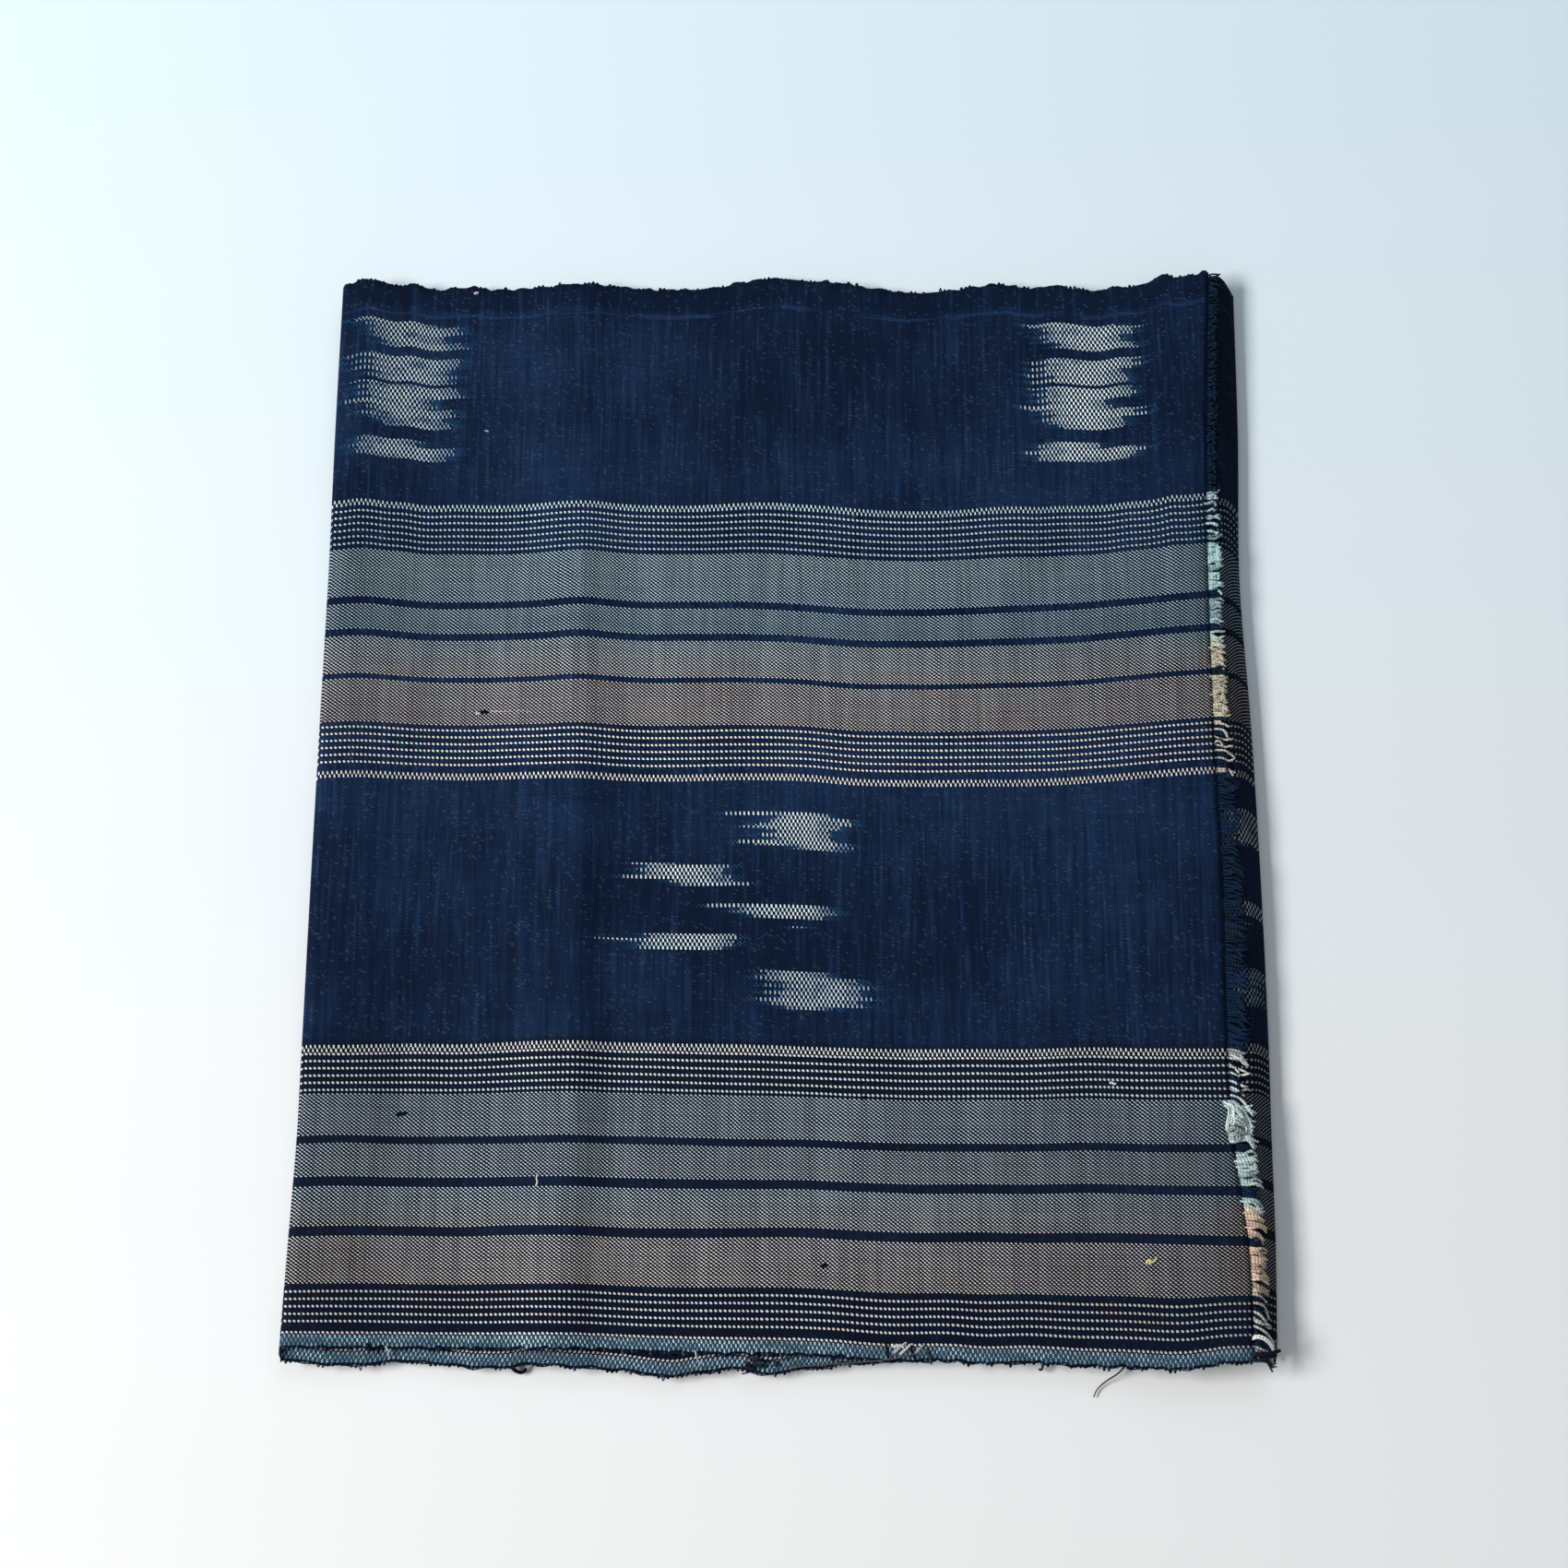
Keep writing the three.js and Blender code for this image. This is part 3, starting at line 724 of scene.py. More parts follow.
# The finish of the cloth itself
IKAT_WHITE = dye(232, 250, 255)
IKAT_STAIN = dye(40, 104, 156)
WEFT_IN_PALE_AND_SHADE = dye(12, 15, 23)
FOLD_PAINTED_SHADOW = dye(5, 7, 12)
EDGE_WEFT = dye(58, 84, 104)
GROOVE_PAINTED_SHADE = dye(11, 14, 22)
UNEVEN_WEAVE = 0.6
FLOAT_EDGE = (0.34, 0.16)
ODD_END_EDGE = 0.12
PAIRED_EDGE = 0.08
BOUND_EDGE = -0.04
FLOAT_SOFTNESS = 0.14
RIGHT_FOLD_POINT = 272
RIGHT_FOLD_RUN = float(np.mean(warp_run[:, RIGHT_FOLD_POINT]))


def loom_marks(tree):
    """The numbers that the mesh carries: the warp run and loom place, in millimetres, and a third."""
    mark = tree.nodes.new("ShaderNodeAttribute")
    mark.attribute_name = "loom"
    split = tree.nodes.new("ShaderNodeSeparateXYZ")
    tree.links.new(mark.outputs["Vector"], split.inputs[0])
    return split.outputs


def new_finish(name, piece):
    """A piece's new material: its tree and its shader."""
    material = bpy.data.materials.new(name)
    material.use_nodes = True
    piece.data.materials.append(material)
    return material.node_tree, material.node_tree.nodes["Principled BSDF"]


def relief(shader, height, strength, depth):
    """Fine relief on a shader, from a height, with its depth in metres."""
    bump = new_node("Bump", height)
    bump.inputs["Strength"].default_value = strength
    bump.inputs["Distance"].default_value = depth
    feed(bump.inputs["Height"], height)
    feed(shader.inputs["Normal"], bump.outputs[0])


tree, shader = new_finish("indigo ikat cotton", cloth)
marks = loom_marks(tree)
weave = apply_effect(plain_weave, Warp_Run=marks[0], Loom_Place=marks[1], Unevenness=UNEVEN_WEAVE)
stripes = apply_effect(stripe_order, End_Place=weave["End Place"])
bars = apply_effect(ikat_bars, Warp_Run=marks[0], End=weave["End"], End_Place=weave["End Place"])
indigo = apply_effect(
    indigo_yarn, Warp_Run=marks[0], Loom_Place=marks[1], Pick=weave["Pick"], End=weave["End"]
)
pale = apply_effect(pale_yarn, Warp_Run=marks[0], Loom_Place=marks[1])
warp_colour = blend(stripes["Pale Warp"], indigo["Warp Dye"], pale["Pale Dye"])
dip = uneven(marks[0], 7.0, marks[1], 3.0, 61.5, 3.0)
stain = times(bars["Half Dyed"], 0.6)
warp_colour = blend(stain, warp_colour, IKAT_STAIN)
ikat_stain = plus(times(bars["Half Dyed"], 0.45), rising(dip, 0.5, 0.72, 0.0, 0.5))
older_stain = plus(
    rising(marks[0], 200.0, 240.0, 0.0, 0.26),
    times(rising(marks[1], -24.0, -19.0, 0.0, -0.1), rising(marks[1], 20.0, 10.0)),
)
ikat_stain = plus(ikat_stain, older_stain)
ikat_stain = plus(ikat_stain, rising(marks[1], -50.0, -54.0, 0.0, 0.2))
ikat_stain = larger(ikat_stain, 0.0)
ikat_colour = blend(ikat_stain, IKAT_WHITE, IKAT_STAIN)
warp_colour = blend(bars["Bound"], warp_colour, ikat_colour)
undyed = larger(stripes["Pale Warp"], bars["Bound"])
pick_tone = uneven(weave["Pick"], 1 / 0.42, marks[1], 34.0, 51.5, 4.0)
end_tone = uneven(marks[0], 24.0, weave["End"], 1 / 0.6, 57.5, 3.0)
tension = times_plus(pick_tone, 1.3, times(end_tone, 0.7))
float_edge = rising(tension, 0.7, 1.3, *FLOAT_EDGE)
end_side = absolute(remainder(weave["End"], 2.0))
float_edge = times_plus(end_side, ODD_END_EDGE, float_edge)
float_edge = times_plus(stripes["Paired"], PAIRED_EDGE, float_edge)
float_edge = times_plus(bars["Bound"], BOUND_EDGE, float_edge)
over = blend_number(stripes["Paired"], weave["Warp Over"], weave["Pair Over"])
checked = larger(bars["Bound"], stripes["Doubled"])
over = blend_number(checked, over, weave["Checked Over"])
warp_up = rising(over, float_edge, plus(float_edge, FLOAT_SOFTNESS))
# Under pale warp the weft turns near black: partly the dark weft itself, partly painted shade between the
# raised pale threads
weft_dark_and_shade = times(undyed, 0.75)
weft_colour = blend(weft_dark_and_shade, indigo["Weft Dye"], WEFT_IN_PALE_AND_SHADE)
edge_stripe = times(stripes["Pale Warp"], rising(marks[1], -164.1, -164.5, 0.0, 0.6))
weft_colour = blend(edge_stripe, weft_colour, EDGE_WEFT)
colour = blend(warp_up, weft_colour, warp_colour)
# Painted shade: the colour darkens in the hollows between the raised threads
groove_painted_shade = rising(weave["Thread Height"], 0.0, 0.8, 0.35, 0.0)
colour = blend(groove_painted_shade, colour, GROOVE_PAINTED_SHADE)
# Painted shadow: layer 2's strip round the right fold, beside and under the top layer's end, is darkened in
# its colour
from_fold = absolute(minus(marks[0], RIGHT_FOLD_RUN))
colour = blend(rising(from_fold, 13.0, 8.0, 0.0, 0.55), colour, FOLD_PAINTED_SHADOW)
feed(shader.inputs["Base Color"], colour)
relief(shader, weave["Thread Height"], 0.3, 0.00012)
feed(shader.inputs["Roughness"], rising(weave["Thread Height"], 0.0, 1.0, 0.95, 0.82))
shader.inputs["Specular IOR Level"].default_value = 0.06

# Selvedges: where each weft thread turns back round the outermost warp ends, in small uneven
# loops, with a few edge ends that have worked loose and lie along the edge.
LOOP_STEP = 2 * PICK_PITCH
LOOP_RADIUS = 0.24
LOOP_SIDES = 5
LOOP_POINTS = 7
LOOP_HALF_WIDTH = 0.34
LOOP_HALF_HEIGHT = 0.24
TIGHT_SHARE = 0.95
DRAWN_OUT = 0.6
EDGE_CORDS = 2
CORD_STEP = 1.3
FAR_CORD_RADIUS = 0.3
NEAR_CORD_RADIUS = 0.2
EDGE_CHANCE = np.random.default_rng(41)


def spun_yarns(paths, radii, sides):
    """Round closed yarns along paths[yarn][point]; returns points, faces and loom marks."""
    count, length = paths.shape[:2]
    heading = np.gradient(paths, axis=1)
    heading /= np.maximum(np.linalg.norm(heading, axis=2), 1e-9)[:, :, None]
    aside = np.cross(heading, np.array([0.0, 0.0, 1.0]))
    size = np.linalg.norm(aside, axis=2)[:, :, None]
    aside = np.where(size > 0.05, aside / np.maximum(size, 1e-9), np.array([0.0, 1.0, 0.0]))
    over = np.cross(aside, heading)
    angle = 2 * math.pi * np.arange(sides) / sides
    ring = np.cos(angle)[:, None] * aside[:, :, None] + np.sin(angle)[:, None] * over[:, :, None]
    points = paths[:, :, None] + ring * radii[:, :, None, None]
    points = points.reshape(count, length * sides, 3)
    points = np.concatenate([points, paths[:, :1], paths[:, -1:]], axis=1)
    quads = []
    for step in range(length - 1):
        for side in range(sides):
            low = step * sides + side
            beside = step * sides + (side + 1) % sides
            quads.append((low, low + sides, beside + sides, beside))
    tips = []
    last = (length - 1) * sides
    for side in range(sides):
        beside = (side + 1) % sides
        tips.append((length * sides, side, beside))
        tips.append((length * sides + 1, last + beside, last + side))
    shift = np.arange(count) * (length * sides + 2)
    faces = [tuple(first + corner for corner in quad) for first in shift for quad in quads]
    faces += [tuple(first + corner for corner in tip) for first in shift for tip in tips]
    travelled = np.cumsum(np.linalg.norm(np.diff(paths, axis=1), axis=2), axis=1)
    travelled = np.concatenate([np.zeros((count, 1)), travelled], axis=1)
    marks = np.zeros((count, length * sides + 2, 3))
    marks[:, : length * sides, 0] = np.repeat(travelled, sides, axis=1)
    marks[:, -1, 0] = travelled[:, -1]
    marks[:, : length * sides, 2] = np.tile(np.arange(sides) / sides, length)
    return points.reshape(-1, 3), faces, marks.reshape(-1, 3), length * sides + 2


def joined(parts):
    """Several sets of points, faces and marks as one."""
    points = np.concatenate([part[0] for part in parts])
    marks = np.concatenate([part[2] for part in parts])
    faces = []
    first = 0
    for part in parts:
        faces += [tuple(first + corner for corner in face) for face in part[1]]
        first += len(part[0])
    return points, faces, marks


def along_edge(row, stations, values):
    """What a grid of values holds at each station along the warp run of one of its rows."""
    return np.stack([np.interp(stations, warp_run[row], values[row][:, axis]) for axis in range(3)], 1)


selvedge_parts = []
for row, outward in ((0, -1.0), (len(middle) - 1, 1.0)):
    edge_run = warp_run[row]
    turns = np.arange(edge_run[0] + 1.0, edge_run[-1] - 1.0, LOOP_STEP)
    centre = along_edge(row, turns, middle)
    upward = along_edge(row, turns, square)
    forward = np.gradient(centre, axis=0)
    forward /= np.linalg.norm(forward, axis=1)[:, None]
    bulge = np.sin(turns * 0.83 + 1.7 * np.sin(turns * 0.19)) * np.sin(turns * 0.31 + row)
    reach = 0.1 + 0.65 * np.maximum(bulge, 0) + 0.5 * EDGE_CHANCE.random(len(turns)) ** 3
    drawn = EDGE_CHANCE.random(len(turns)) > TIGHT_SHARE
    reach = np.where(drawn, reach + DRAWN_OUT, reach)
    bend = np.linspace(-1.0, 1.0, LOOP_POINTS) * math.pi / 2
    out = (np.cos(bend) * (reach[:, None] + 0.5) - 0.5)[:, :, None] * np.array([0.0, outward, 0.0])
    side_step = (np.sin(bend) * LOOP_HALF_WIDTH)[None, :, None] * forward[:, None, :]
    rise = (np.sin(bend) * LOOP_HALF_HEIGHT)[None, :, None] * upward[:, None, :]
    loops = centre[:, None, :] + out + side_step + rise
    loops[:, :, 2] = np.maximum(loops[:, :, 2], LOOP_RADIUS)
    radii = np.full(loops.shape[:2], LOOP_RADIUS) * (0.8 + 0.5 * EDGE_CHANCE.random((len(turns), 1)))
    points, faces, marks_here, each = spun_yarns(loops, radii, LOOP_SIDES)
    marks_here[:, 1] = np.repeat(EDGE_CHANCE.random(len(turns)) + 0.2 * (outward < 0), each)
    selvedge_parts.append((points, faces, marks_here))
    for cord in range(EDGE_CORDS):
        stations = np.arange(edge_run[0] + 0.5, edge_run[-1] - 0.5, CORD_STEP)
        line = along_edge(row, stations, middle)
        top = along_edge(row, stations, square)
        wander = 0.18 * np.sin(stations * 0.9 + cord * 2.0) + 0.16 * np.sin(stations * 0.37 + cord)
        line[:, 1] += outward * (wander + 0.12 - 0.25 * cord)
        line += top * (0.12 * np.sin(stations * 1.1 + 3 * cord))[:, None]
        line[:, 2] = np.maximum(line[:, 2], 0.3)
        radii = np.full((1, len(stations)), FAR_CORD_RADIUS if outward > 0 else NEAR_CORD_RADIUS)
        points, faces, marks_here, each = spun_yarns(line[None], radii, LOOP_SIDES)
        marks_here[:, 1] = 0.3 * cord
        selvedge_parts.append((points, faces, marks_here))
selvedges = woven_piece("selvedge_threads", *joined(selvedge_parts))

tree, shader = new_finish("selvedge yarn", selvedges)
marks = loom_marks(tree)
twist = sine(plus(times(marks[0], 7.0), times(marks[2], 2 * math.pi)))
tone = uneven(marks[0], 1 / 0.6, marks[1], 1 / 40, 3.5)
colour = blend(rising(tone, 0.35, 0.7), dye(9, 18, 34), dye(32, 48, 72))
colour = blend(rising(marks[1], 0.93, 0.97, 0.0, 0.5), colour, dye(92, 116, 140))
feed(shader.inputs["Base Color"], colour)
relief(shader, twist, 0.6, 0.0001)
shader.inputs["Roughness"].default_value = 0.9
shader.inputs["Specular IOR Level"].default_value = 0.08

# Fringe: the warp ends left when the last picks came out, each a loose twisted cotton yarn that
# still starts in the cloth. Neighbours cling together and curl over the layer below.
YARN_RADIUS = 0.4
YARN_POINTS = 15
YARN_SIDES = 6
ROOT_INSIDE = 0.9
OUTERMOST_END = 304
ENDS_PER_YARN = 1.5
LINES_SHARE = 0.62
LINES_SWELL = 0.9
PALE_SWELL = 1.12
HOOK_ALONG = 1.6
HOOK_ACROSS = 1.9
TONES = 20
FRINGE_CHANCE = np.random.default_rng(7)

# Place across the loom, then lean and curl along Y, hump, ends that cling together, and length
HANDS = [
    (-168, -3.4, 0.6, 0.3, 3, 1.05), (-163, -3.4, 1.2, 0.6, 2, 1.1), (-151, -2.6, 1.6, 0.7, 2, 1.05),
    (-148, -1.3, 0.5, 0.9, 4, 0.95), (-135, -1.0, 0.5, 0.9, 4, 0.95), (-131, -1.6, 1.1, 0.6, 5, 1.0),
    (-119, -0.8, 1.3, 0.6, 5, 0.95), (-107, -0.4, 1.3, 0.6, 5, 0.9), (-93, -1.8, 1.4, 0.5, 3, 0.9),
    (-80, -1.8, 1.4, 0.5, 2, 0.9), (-70, -0.8, 0.7, 0.4, 6, 1.0), (-10, -0.9, 0.8, 0.4, 6, 1.0),
    (2, -1.0, 0.9, 0.5, 4, 1.0), (7, -1.2, 1.3, 0.5, 2, 1.0), (19, -0.6, 1.1, 0.5, 2, 0.95),
    (22, 0.2, 0.8, 0.6, 4, 0.9), (46, 0.3, 0.8, 0.5, 4, 0.9), (60, 0.4, 0.6, 0.5, 5, 1.0),
    (76, 0.9, 0.6, 0.4, 4, 1.0), (92, 0.6, 0.5, 0.3, 3, 0.9), (120, 0.2, 0.5, 0.3, 6, 0.9),
    (168, 0.4, 0.4, 0.3, 6, 0.9),
]
ends = np.arange(-OUTERMOST_END, OUTERMOST_END, ENDS_PER_YARN) + 0.5
end_places = ends * END_PITCH
roots_x = woven_end(end_places)
roots_y = cloth_place(1, roots_x, end_places)


def hand(column):
    """A column of the table of hands at each yarn's place."""
    return np.interp(end_places, *np.array(HANDS, float)[:, (0, column)].T)


cling = np.maximum(1, np.round(hand(4) / ENDS_PER_YARN))
lock = np.zeros(len(ends), int)
taken = 0
for k in range(len(ends)):
    if k - taken >= cling[k]:
        lock[k:] += 1
        taken = k
lock_chance = FRINGE_CHANCE.random((lock.max() + 1, 5))[lock]
own_chance = FRINGE_CHANCE.random((len(ends), 5))
pale_end = np.zeros(len(ends), bool)
for block in STRIPE_BLOCKS:
    for band_low, band_high in block:
        pale_end |= (end_places > band_low) & (end_places < band_high)
lines_here = ((end_places > 4) & (end_places < 20)) | ((end_places > -93) & (end_places < -80))
lines_here |= end_places < -150
reach = (fringe_tips(end_places) - roots_x) * hand(5)
reach *= 0.88 + 0.16 * lock_chance[:, 0] + 0.1 * own_chance[:, 0]
reach *= np.where(lines_here & ~pale_end, LINES_SHARE, 1.0)
share = np.linspace(0, 1, YARN_POINTS)[None, :]
lock_places = np.zeros(lock.max() + 1)
lock_sizes = np.zeros(lock.max() + 1)
np.add.at(lock_places, lock, end_places)
np.add.at(lock_sizes, lock, 1)
lock_middle = (lock_places / lock_sizes)[lock]
inside = ROOT_INSIDE * (0.4 + 0.7 * own_chance[:, 2])
start_x = (roots_x - inside)[:, None]
x = start_x + (reach + inside)[:, None] * share
out = np.clip((x - roots_x[:, None]) / np.maximum(reach[:, None], 0.1), 0, 1)
lean = hand(1) + 1.5 * (lock_chance[:, 1] - 0.5) + 0.9 * (own_chance[:, 1] - 0.5)
curl = hand(2) * (0.6 + 1.2 * lock_chance[:, 2])
phase = 2.2 * (lock_chance[:, 3] - 0.5)
sway = np.sin(math.pi * (1.5 * out + phase[:, None])) - np.sin(math.pi * phase)[:, None] * (1 - out)
y = roots_y[:, None] + lean[:, None] * out**1.2 + 0.5 * curl[:, None] * sway * out
drawn = 0.3 * lock_chance[:, 0] - 0.08
y += (drawn * (lock_middle - end_places))[:, None] * eased(out, 0.0, 0.6)
y += 0.4 * np.sin(6 * out + 6.3 * own_chance[:, 2:3]) * out
hook = np.maximum(0, own_chance[:, 3] - 0.35)[:, None]
y -= HOOK_ACROSS * hook * eased(out, 0.45, 1.0)
x -= HOOK_ALONG * hook * eased(out, 0.6, 1.0)
x += (0.9 * (own_chance[:, 4:5] - 0.5)) * eased(out, 0.0, 0.2) * (1 - eased(out, 0.3, 1.0))
places = np.repeat(end_places[:, None], YARN_POINTS, 1)
bend_start = right_fold(places) - RIGHT_FOLD_REACH
rest = layer_height(2, np.minimum(x, bend_start), places) + CLOTH_THICK / 2 + YARN_RADIUS
past = np.clip((x - bend_start) / RIGHT_FOLD_REACH, 0, 0.98)
fall_way = np.array(FALL)[:7]
rest -= right_fold_height(places) * (1 - np.interp(past, fall_way[:, 1], fall_way[:, 2]))
start_z = layer_height(1, roots_x, end_places)[:, None] + (0.2 * lock_chance[:, 4:5] - 0.2)
z = between(start_z, rest, eased(out, 0.0, 0.75))
z += (hand(3) * (0.3 + lock_chance[:, 4]))[:, None] * np.sin(math.pi * out) * 0.8
z += (0.5 * own_chance[:, 4:5] + 0.5 * lock_chance[:, 2:3]) * out
z += 0.25 * np.sin(8 * out + 6.3 * own_chance[:, 1:2]) * eased(out, 0.1, 0.5)
radii = np.full(x.shape, YARN_RADIUS) * (0.85 + 0.35 * own_chance[:, 3:4])
radii *= 1 - 0.35 * eased(out, 0.75, 1.0)
radii *= np.where(pale_end & ~lines_here, PALE_SWELL, LINES_SWELL)[:, None]
fringe_paths = np.stack([x, y, z], 2)
points, faces, marks_here, each = spun_yarns(fringe_paths, radii, YARN_SIDES)
marks_here[:, 1] = np.repeat(end_places, each)
marks_here[:, 2] += np.repeat(np.round(TONES * (0.6 * lock_chance[:, 3] + 0.4 * own_chance[:, 0])), each)
fringe_parts = [(points, faces, marks_here)]

# Tangled tuft where a pale band's ends were pulled: loops lying on the cloth and over its end
TUFT = [
    [
        (130.0, -95.2, 5.4), (131.9, -95.6, 6.6), (133.0, -97.0, 7.4), (133.1, -99.5, 7.7),
        (132.9, -101.3, 7.4), (132.6, -103.0, 6.9),
    ],
    [
        (130.4, -95.8, 5.6), (131.7, -96.8, 6.6), (131.3, -99.4, 7.0), (130.4, -102.6, 6.8),
        (130.6, -105.0, 6.6), (132.8, -106.9, 6.6),
    ],
    [
        (131.6, -95.4, 5.6), (134.2, -96.4, 7.0), (136.6, -99.0, 7.4), (138.9, -103.0, 7.0),
        (137.9, -106.4, 6.6), (132.8, -108.1, 6.6),
    ],
    [
        (132.4, -97.6, 7.0), (134.0, -98.0, 7.7), (135.6, -99.4, 7.9), (136.7, -101.0, 7.6),
        (137.5, -102.0, 7.1), (138.3, -103.0, 6.6),
    ],
    [
        (133.3, -99.9, 6.9), (134.6, -100.6, 7.7), (135.9, -101.3, 7.9), (137.0, -101.9, 7.6),
        (137.9, -102.4, 7.1), (138.8, -103.2, 6.6),
    ],
    [
        (133.0, -102.0, 6.9), (134.4, -102.6, 7.6), (135.8, -102.9, 7.8), (137.2, -103.2, 7.5),
        (138.0, -103.6, 7.0), (138.9, -104.4, 6.6),
    ],
    [
        (130.9, -105.3, 6.6), (132.2, -104.2, 7.2), (133.8, -104.1, 7.6), (135.4, -105.2, 7.6),
        (136.6, -106.0, 7.2), (138.2, -105.6, 6.7),
    ],
    [
        (132.0, -107.7, 6.5), (131.9, -106.2, 7.0), (133.3, -105.4, 7.5), (134.6, -106.3, 7.3),
        (134.0, -107.6, 6.9), (132.2, -108.2, 6.5),
    ],
]
TUFT_POINTS = 18
TUFT_COPIES = 4
TUFT_RADIUS = 0.27
TUFT_MIDDLE = (134.6, -101.8, 5.4)
TUFT_SIZE = (0.85, 0.88, 0.75)
TUFT_PLACE = -100
TUFT_HANGS_FROM = 133.5
TUFT_CHANCE = np.random.default_rng(23)


def flowing(path, count):
    """More points on a smooth curve through the path's points."""
    path = np.array(path, float)
    at = np.linspace(0, 1, len(path))
    fine = np.linspace(0, 1, count)
    columns = []
    for axis in range(3):
        columns.append(smooth_line(np.stack([at, path[:, axis]], 1), fine))
    return np.stack(columns, 1)


tuft_paths = []
tuft_base = layer_height(1, np.array([132.0]), np.array([-101.0]))[0] + CLOTH_THICK / 2
for loop in TUFT:
    for copy in range(TUFT_COPIES):
        aside = TUFT_CHANCE.normal(0, 0.42, 3) * (1.0, 1.0, 0.4) + (-0.3, -0.3, tuft_base - 5.3)
        small = (np.array(loop) - TUFT_MIDDLE) * TUFT_SIZE + TUFT_MIDDLE
        shifted = small + aside + TUFT_CHANCE.normal(0, 0.14, (len(loop), 3)) * (1.0, 1.0, 0.5)
        shifted[:, 2] -= 0.3 * np.maximum(0, shifted[:, 0] - TUFT_HANGS_FROM)
        under = layer_height(2, shifted[:, 0], shifted[:, 1]) + CLOTH_THICK / 2 + TUFT_RADIUS
        shifted[:, 2] = np.maximum(shifted[:, 2], under)
        tuft_paths.append(flowing(shifted, TUFT_POINTS))
tuft_paths = np.array(tuft_paths)
points, faces, marks_here, each = spun_yarns(
    tuft_paths, np.full(tuft_paths.shape[:2], TUFT_RADIUS), YARN_SIDES
)
marks_here[:, 1] = np.repeat(TUFT_PLACE + 6 * (TUFT_CHANCE.random(len(tuft_paths)) - 0.5), each)
marks_here[:, 2] += np.repeat(np.round(TONES * TUFT_CHANCE.random(len(tuft_paths))), each)
fringe_parts.append((points, faces, marks_here))
fringe = woven_piece("fringe_yarns", *joined(fringe_parts))

FRINGE_DYES = [
    (-168, 30, 46, 66), (-164.6, 40, 60, 84), (-163.6, 232, 230, 224), (-150, 226, 222, 214),
    (-149, 246, 220, 188), (-134, 246, 214, 186), (-124, 246, 222, 194), (-122.5, 196, 228, 230),
    (-117, 214, 236, 234), (-94, 232, 246, 242), (-79, 228, 234, 228), (4, 228, 216, 204),
    (18, 218, 212, 200), (20, 214, 206, 180), (43, 222, 212, 186), (46, 204, 226, 218),
    (50, 186, 218, 220), (76, 188, 222, 224), (94, 192, 218, 228), (168, 160, 190, 210),
]

tree, shader = new_finish("loose cotton yarn", fringe)
marks = loom_marks(tree)
stripes = apply_effect(stripe_order, End_Place=marks[1])
pale_colour = dyed_by(marks[1], FRINGE_DYES)
twist = sine(plus(times(marks[0], 6.5), times(marks[2], 2 * math.pi)))
tone = uneven(marks[0], 1 / 0.8, marks[1], 1 / 3.1, 5.5)
own_tone = divided(floored(marks[2]), TONES)
mixed_tone = times_plus(own_tone, 0.5, times(tone, 0.5))
dark_colour = blend(rising(mixed_tone, 0.2, 0.85), dye(9, 19, 36), dye(24, 47, 78))
colour = blend(stripes["Pale Warp"], dark_colour, pale_colour)
# Painted shade: yarns darken along their twist, and some at random, for the shade between strands
strand_painted_shade = times(rising(mixed_tone, 0.65, 0.2), 0.6)
shade = times_plus(twist, -0.12, plus(strand_painted_shade, 0.12))
colour = blend(shade, colour, dye(24, 44, 62))
feed(shader.inputs["Base Color"], colour)
relief(shader, twist, 0.7, 0.0001)
shader.inputs["Roughness"].default_value = 0.85
shader.inputs["Specular IOR Level"].default_value = 0.08

# Loose ends: the long thread hanging from the near selvedge, a short curl, stubs at the corner
# and a frayed lump where edge ends have broken.
LONG_THREAD = [
    (101.5, -169.6, 3.4), (99.8, -171.8, 3.2), (97.6, -174.2, 2.4), (94.2, -176.4, 1.4),
    (91.6, -178.7, 0.9), (90.4, -181.0, 0.8),
]
SHORT_CURL = [
    (-80.6, -170.2, 2.2), (-79.8, -172.0, 2.0), (-78.6, -173.4, 1.6), (-77.0, -174.0, 1.3),
    (-75.9, -173.6, 1.1), (-75.4, -172.8, 1.0),
]
CORNER_STUB = [
    (136.6, -168.6, 5.0), (138.0, -168.9, 5.6), (139.6, -168.6, 5.8), (141.0, -168.3, 5.6),
    (142.4, -167.9, 5.2), (143.6, -167.6, 4.8),
]
CORNER_CURL = [
    (135.6, -164.4, 5.4), (137.0, -164.0, 6.3), (138.8, -164.6, 6.6), (140.2, -165.8, 6.2),
    (141.2, -167.2, 5.6), (141.6, -168.4, 5.0),
]
EDGE_NUB = [
    (75.0, -169.8, 3.6), (75.2, -170.9, 3.4), (75.5, -171.9, 3.0), (75.4, -172.8, 2.4),
    (75.0, -173.3, 1.8), (74.6, -173.0, 1.4),
]
WISP = [
    (-25.9, -167.6, 6.0), (-25.7, -168.6, 6.2), (-25.4, -169.6, 6.0), (-25.0, -170.4, 5.4),
    (-24.4, -171.2, 4.8), (-23.6, -171.7, 4.4),
]
SLIT_THREAD = [
    (2.0, -172.4, 4.4), (12.0, -171.6, 4.8), (22.0, -171.0, 5.0), (32.0, -170.0, 5.4), (38.0, -168.6, 5.9),
    (43.0, -167.8, 6.0),
]
LUMP_THREADS = 34
LUMP_RADIUS = 0.32
YELLOWED = 2.0
LOOSE_CHANCE = np.random.default_rng(5)


def loose_thread(path, radius, tone, count=24):
    """A tapered thread through the path's points, its tone from 0, indigo, to 1, undyed."""
    line = flowing(path, count)[None]
    taper = np.linspace(1.0, 0.6, count)[None] * radius
    points, faces, marks_here, each = spun_yarns(line, taper, 6)
    marks_here[:, 1] = tone
    return points, faces, marks_here


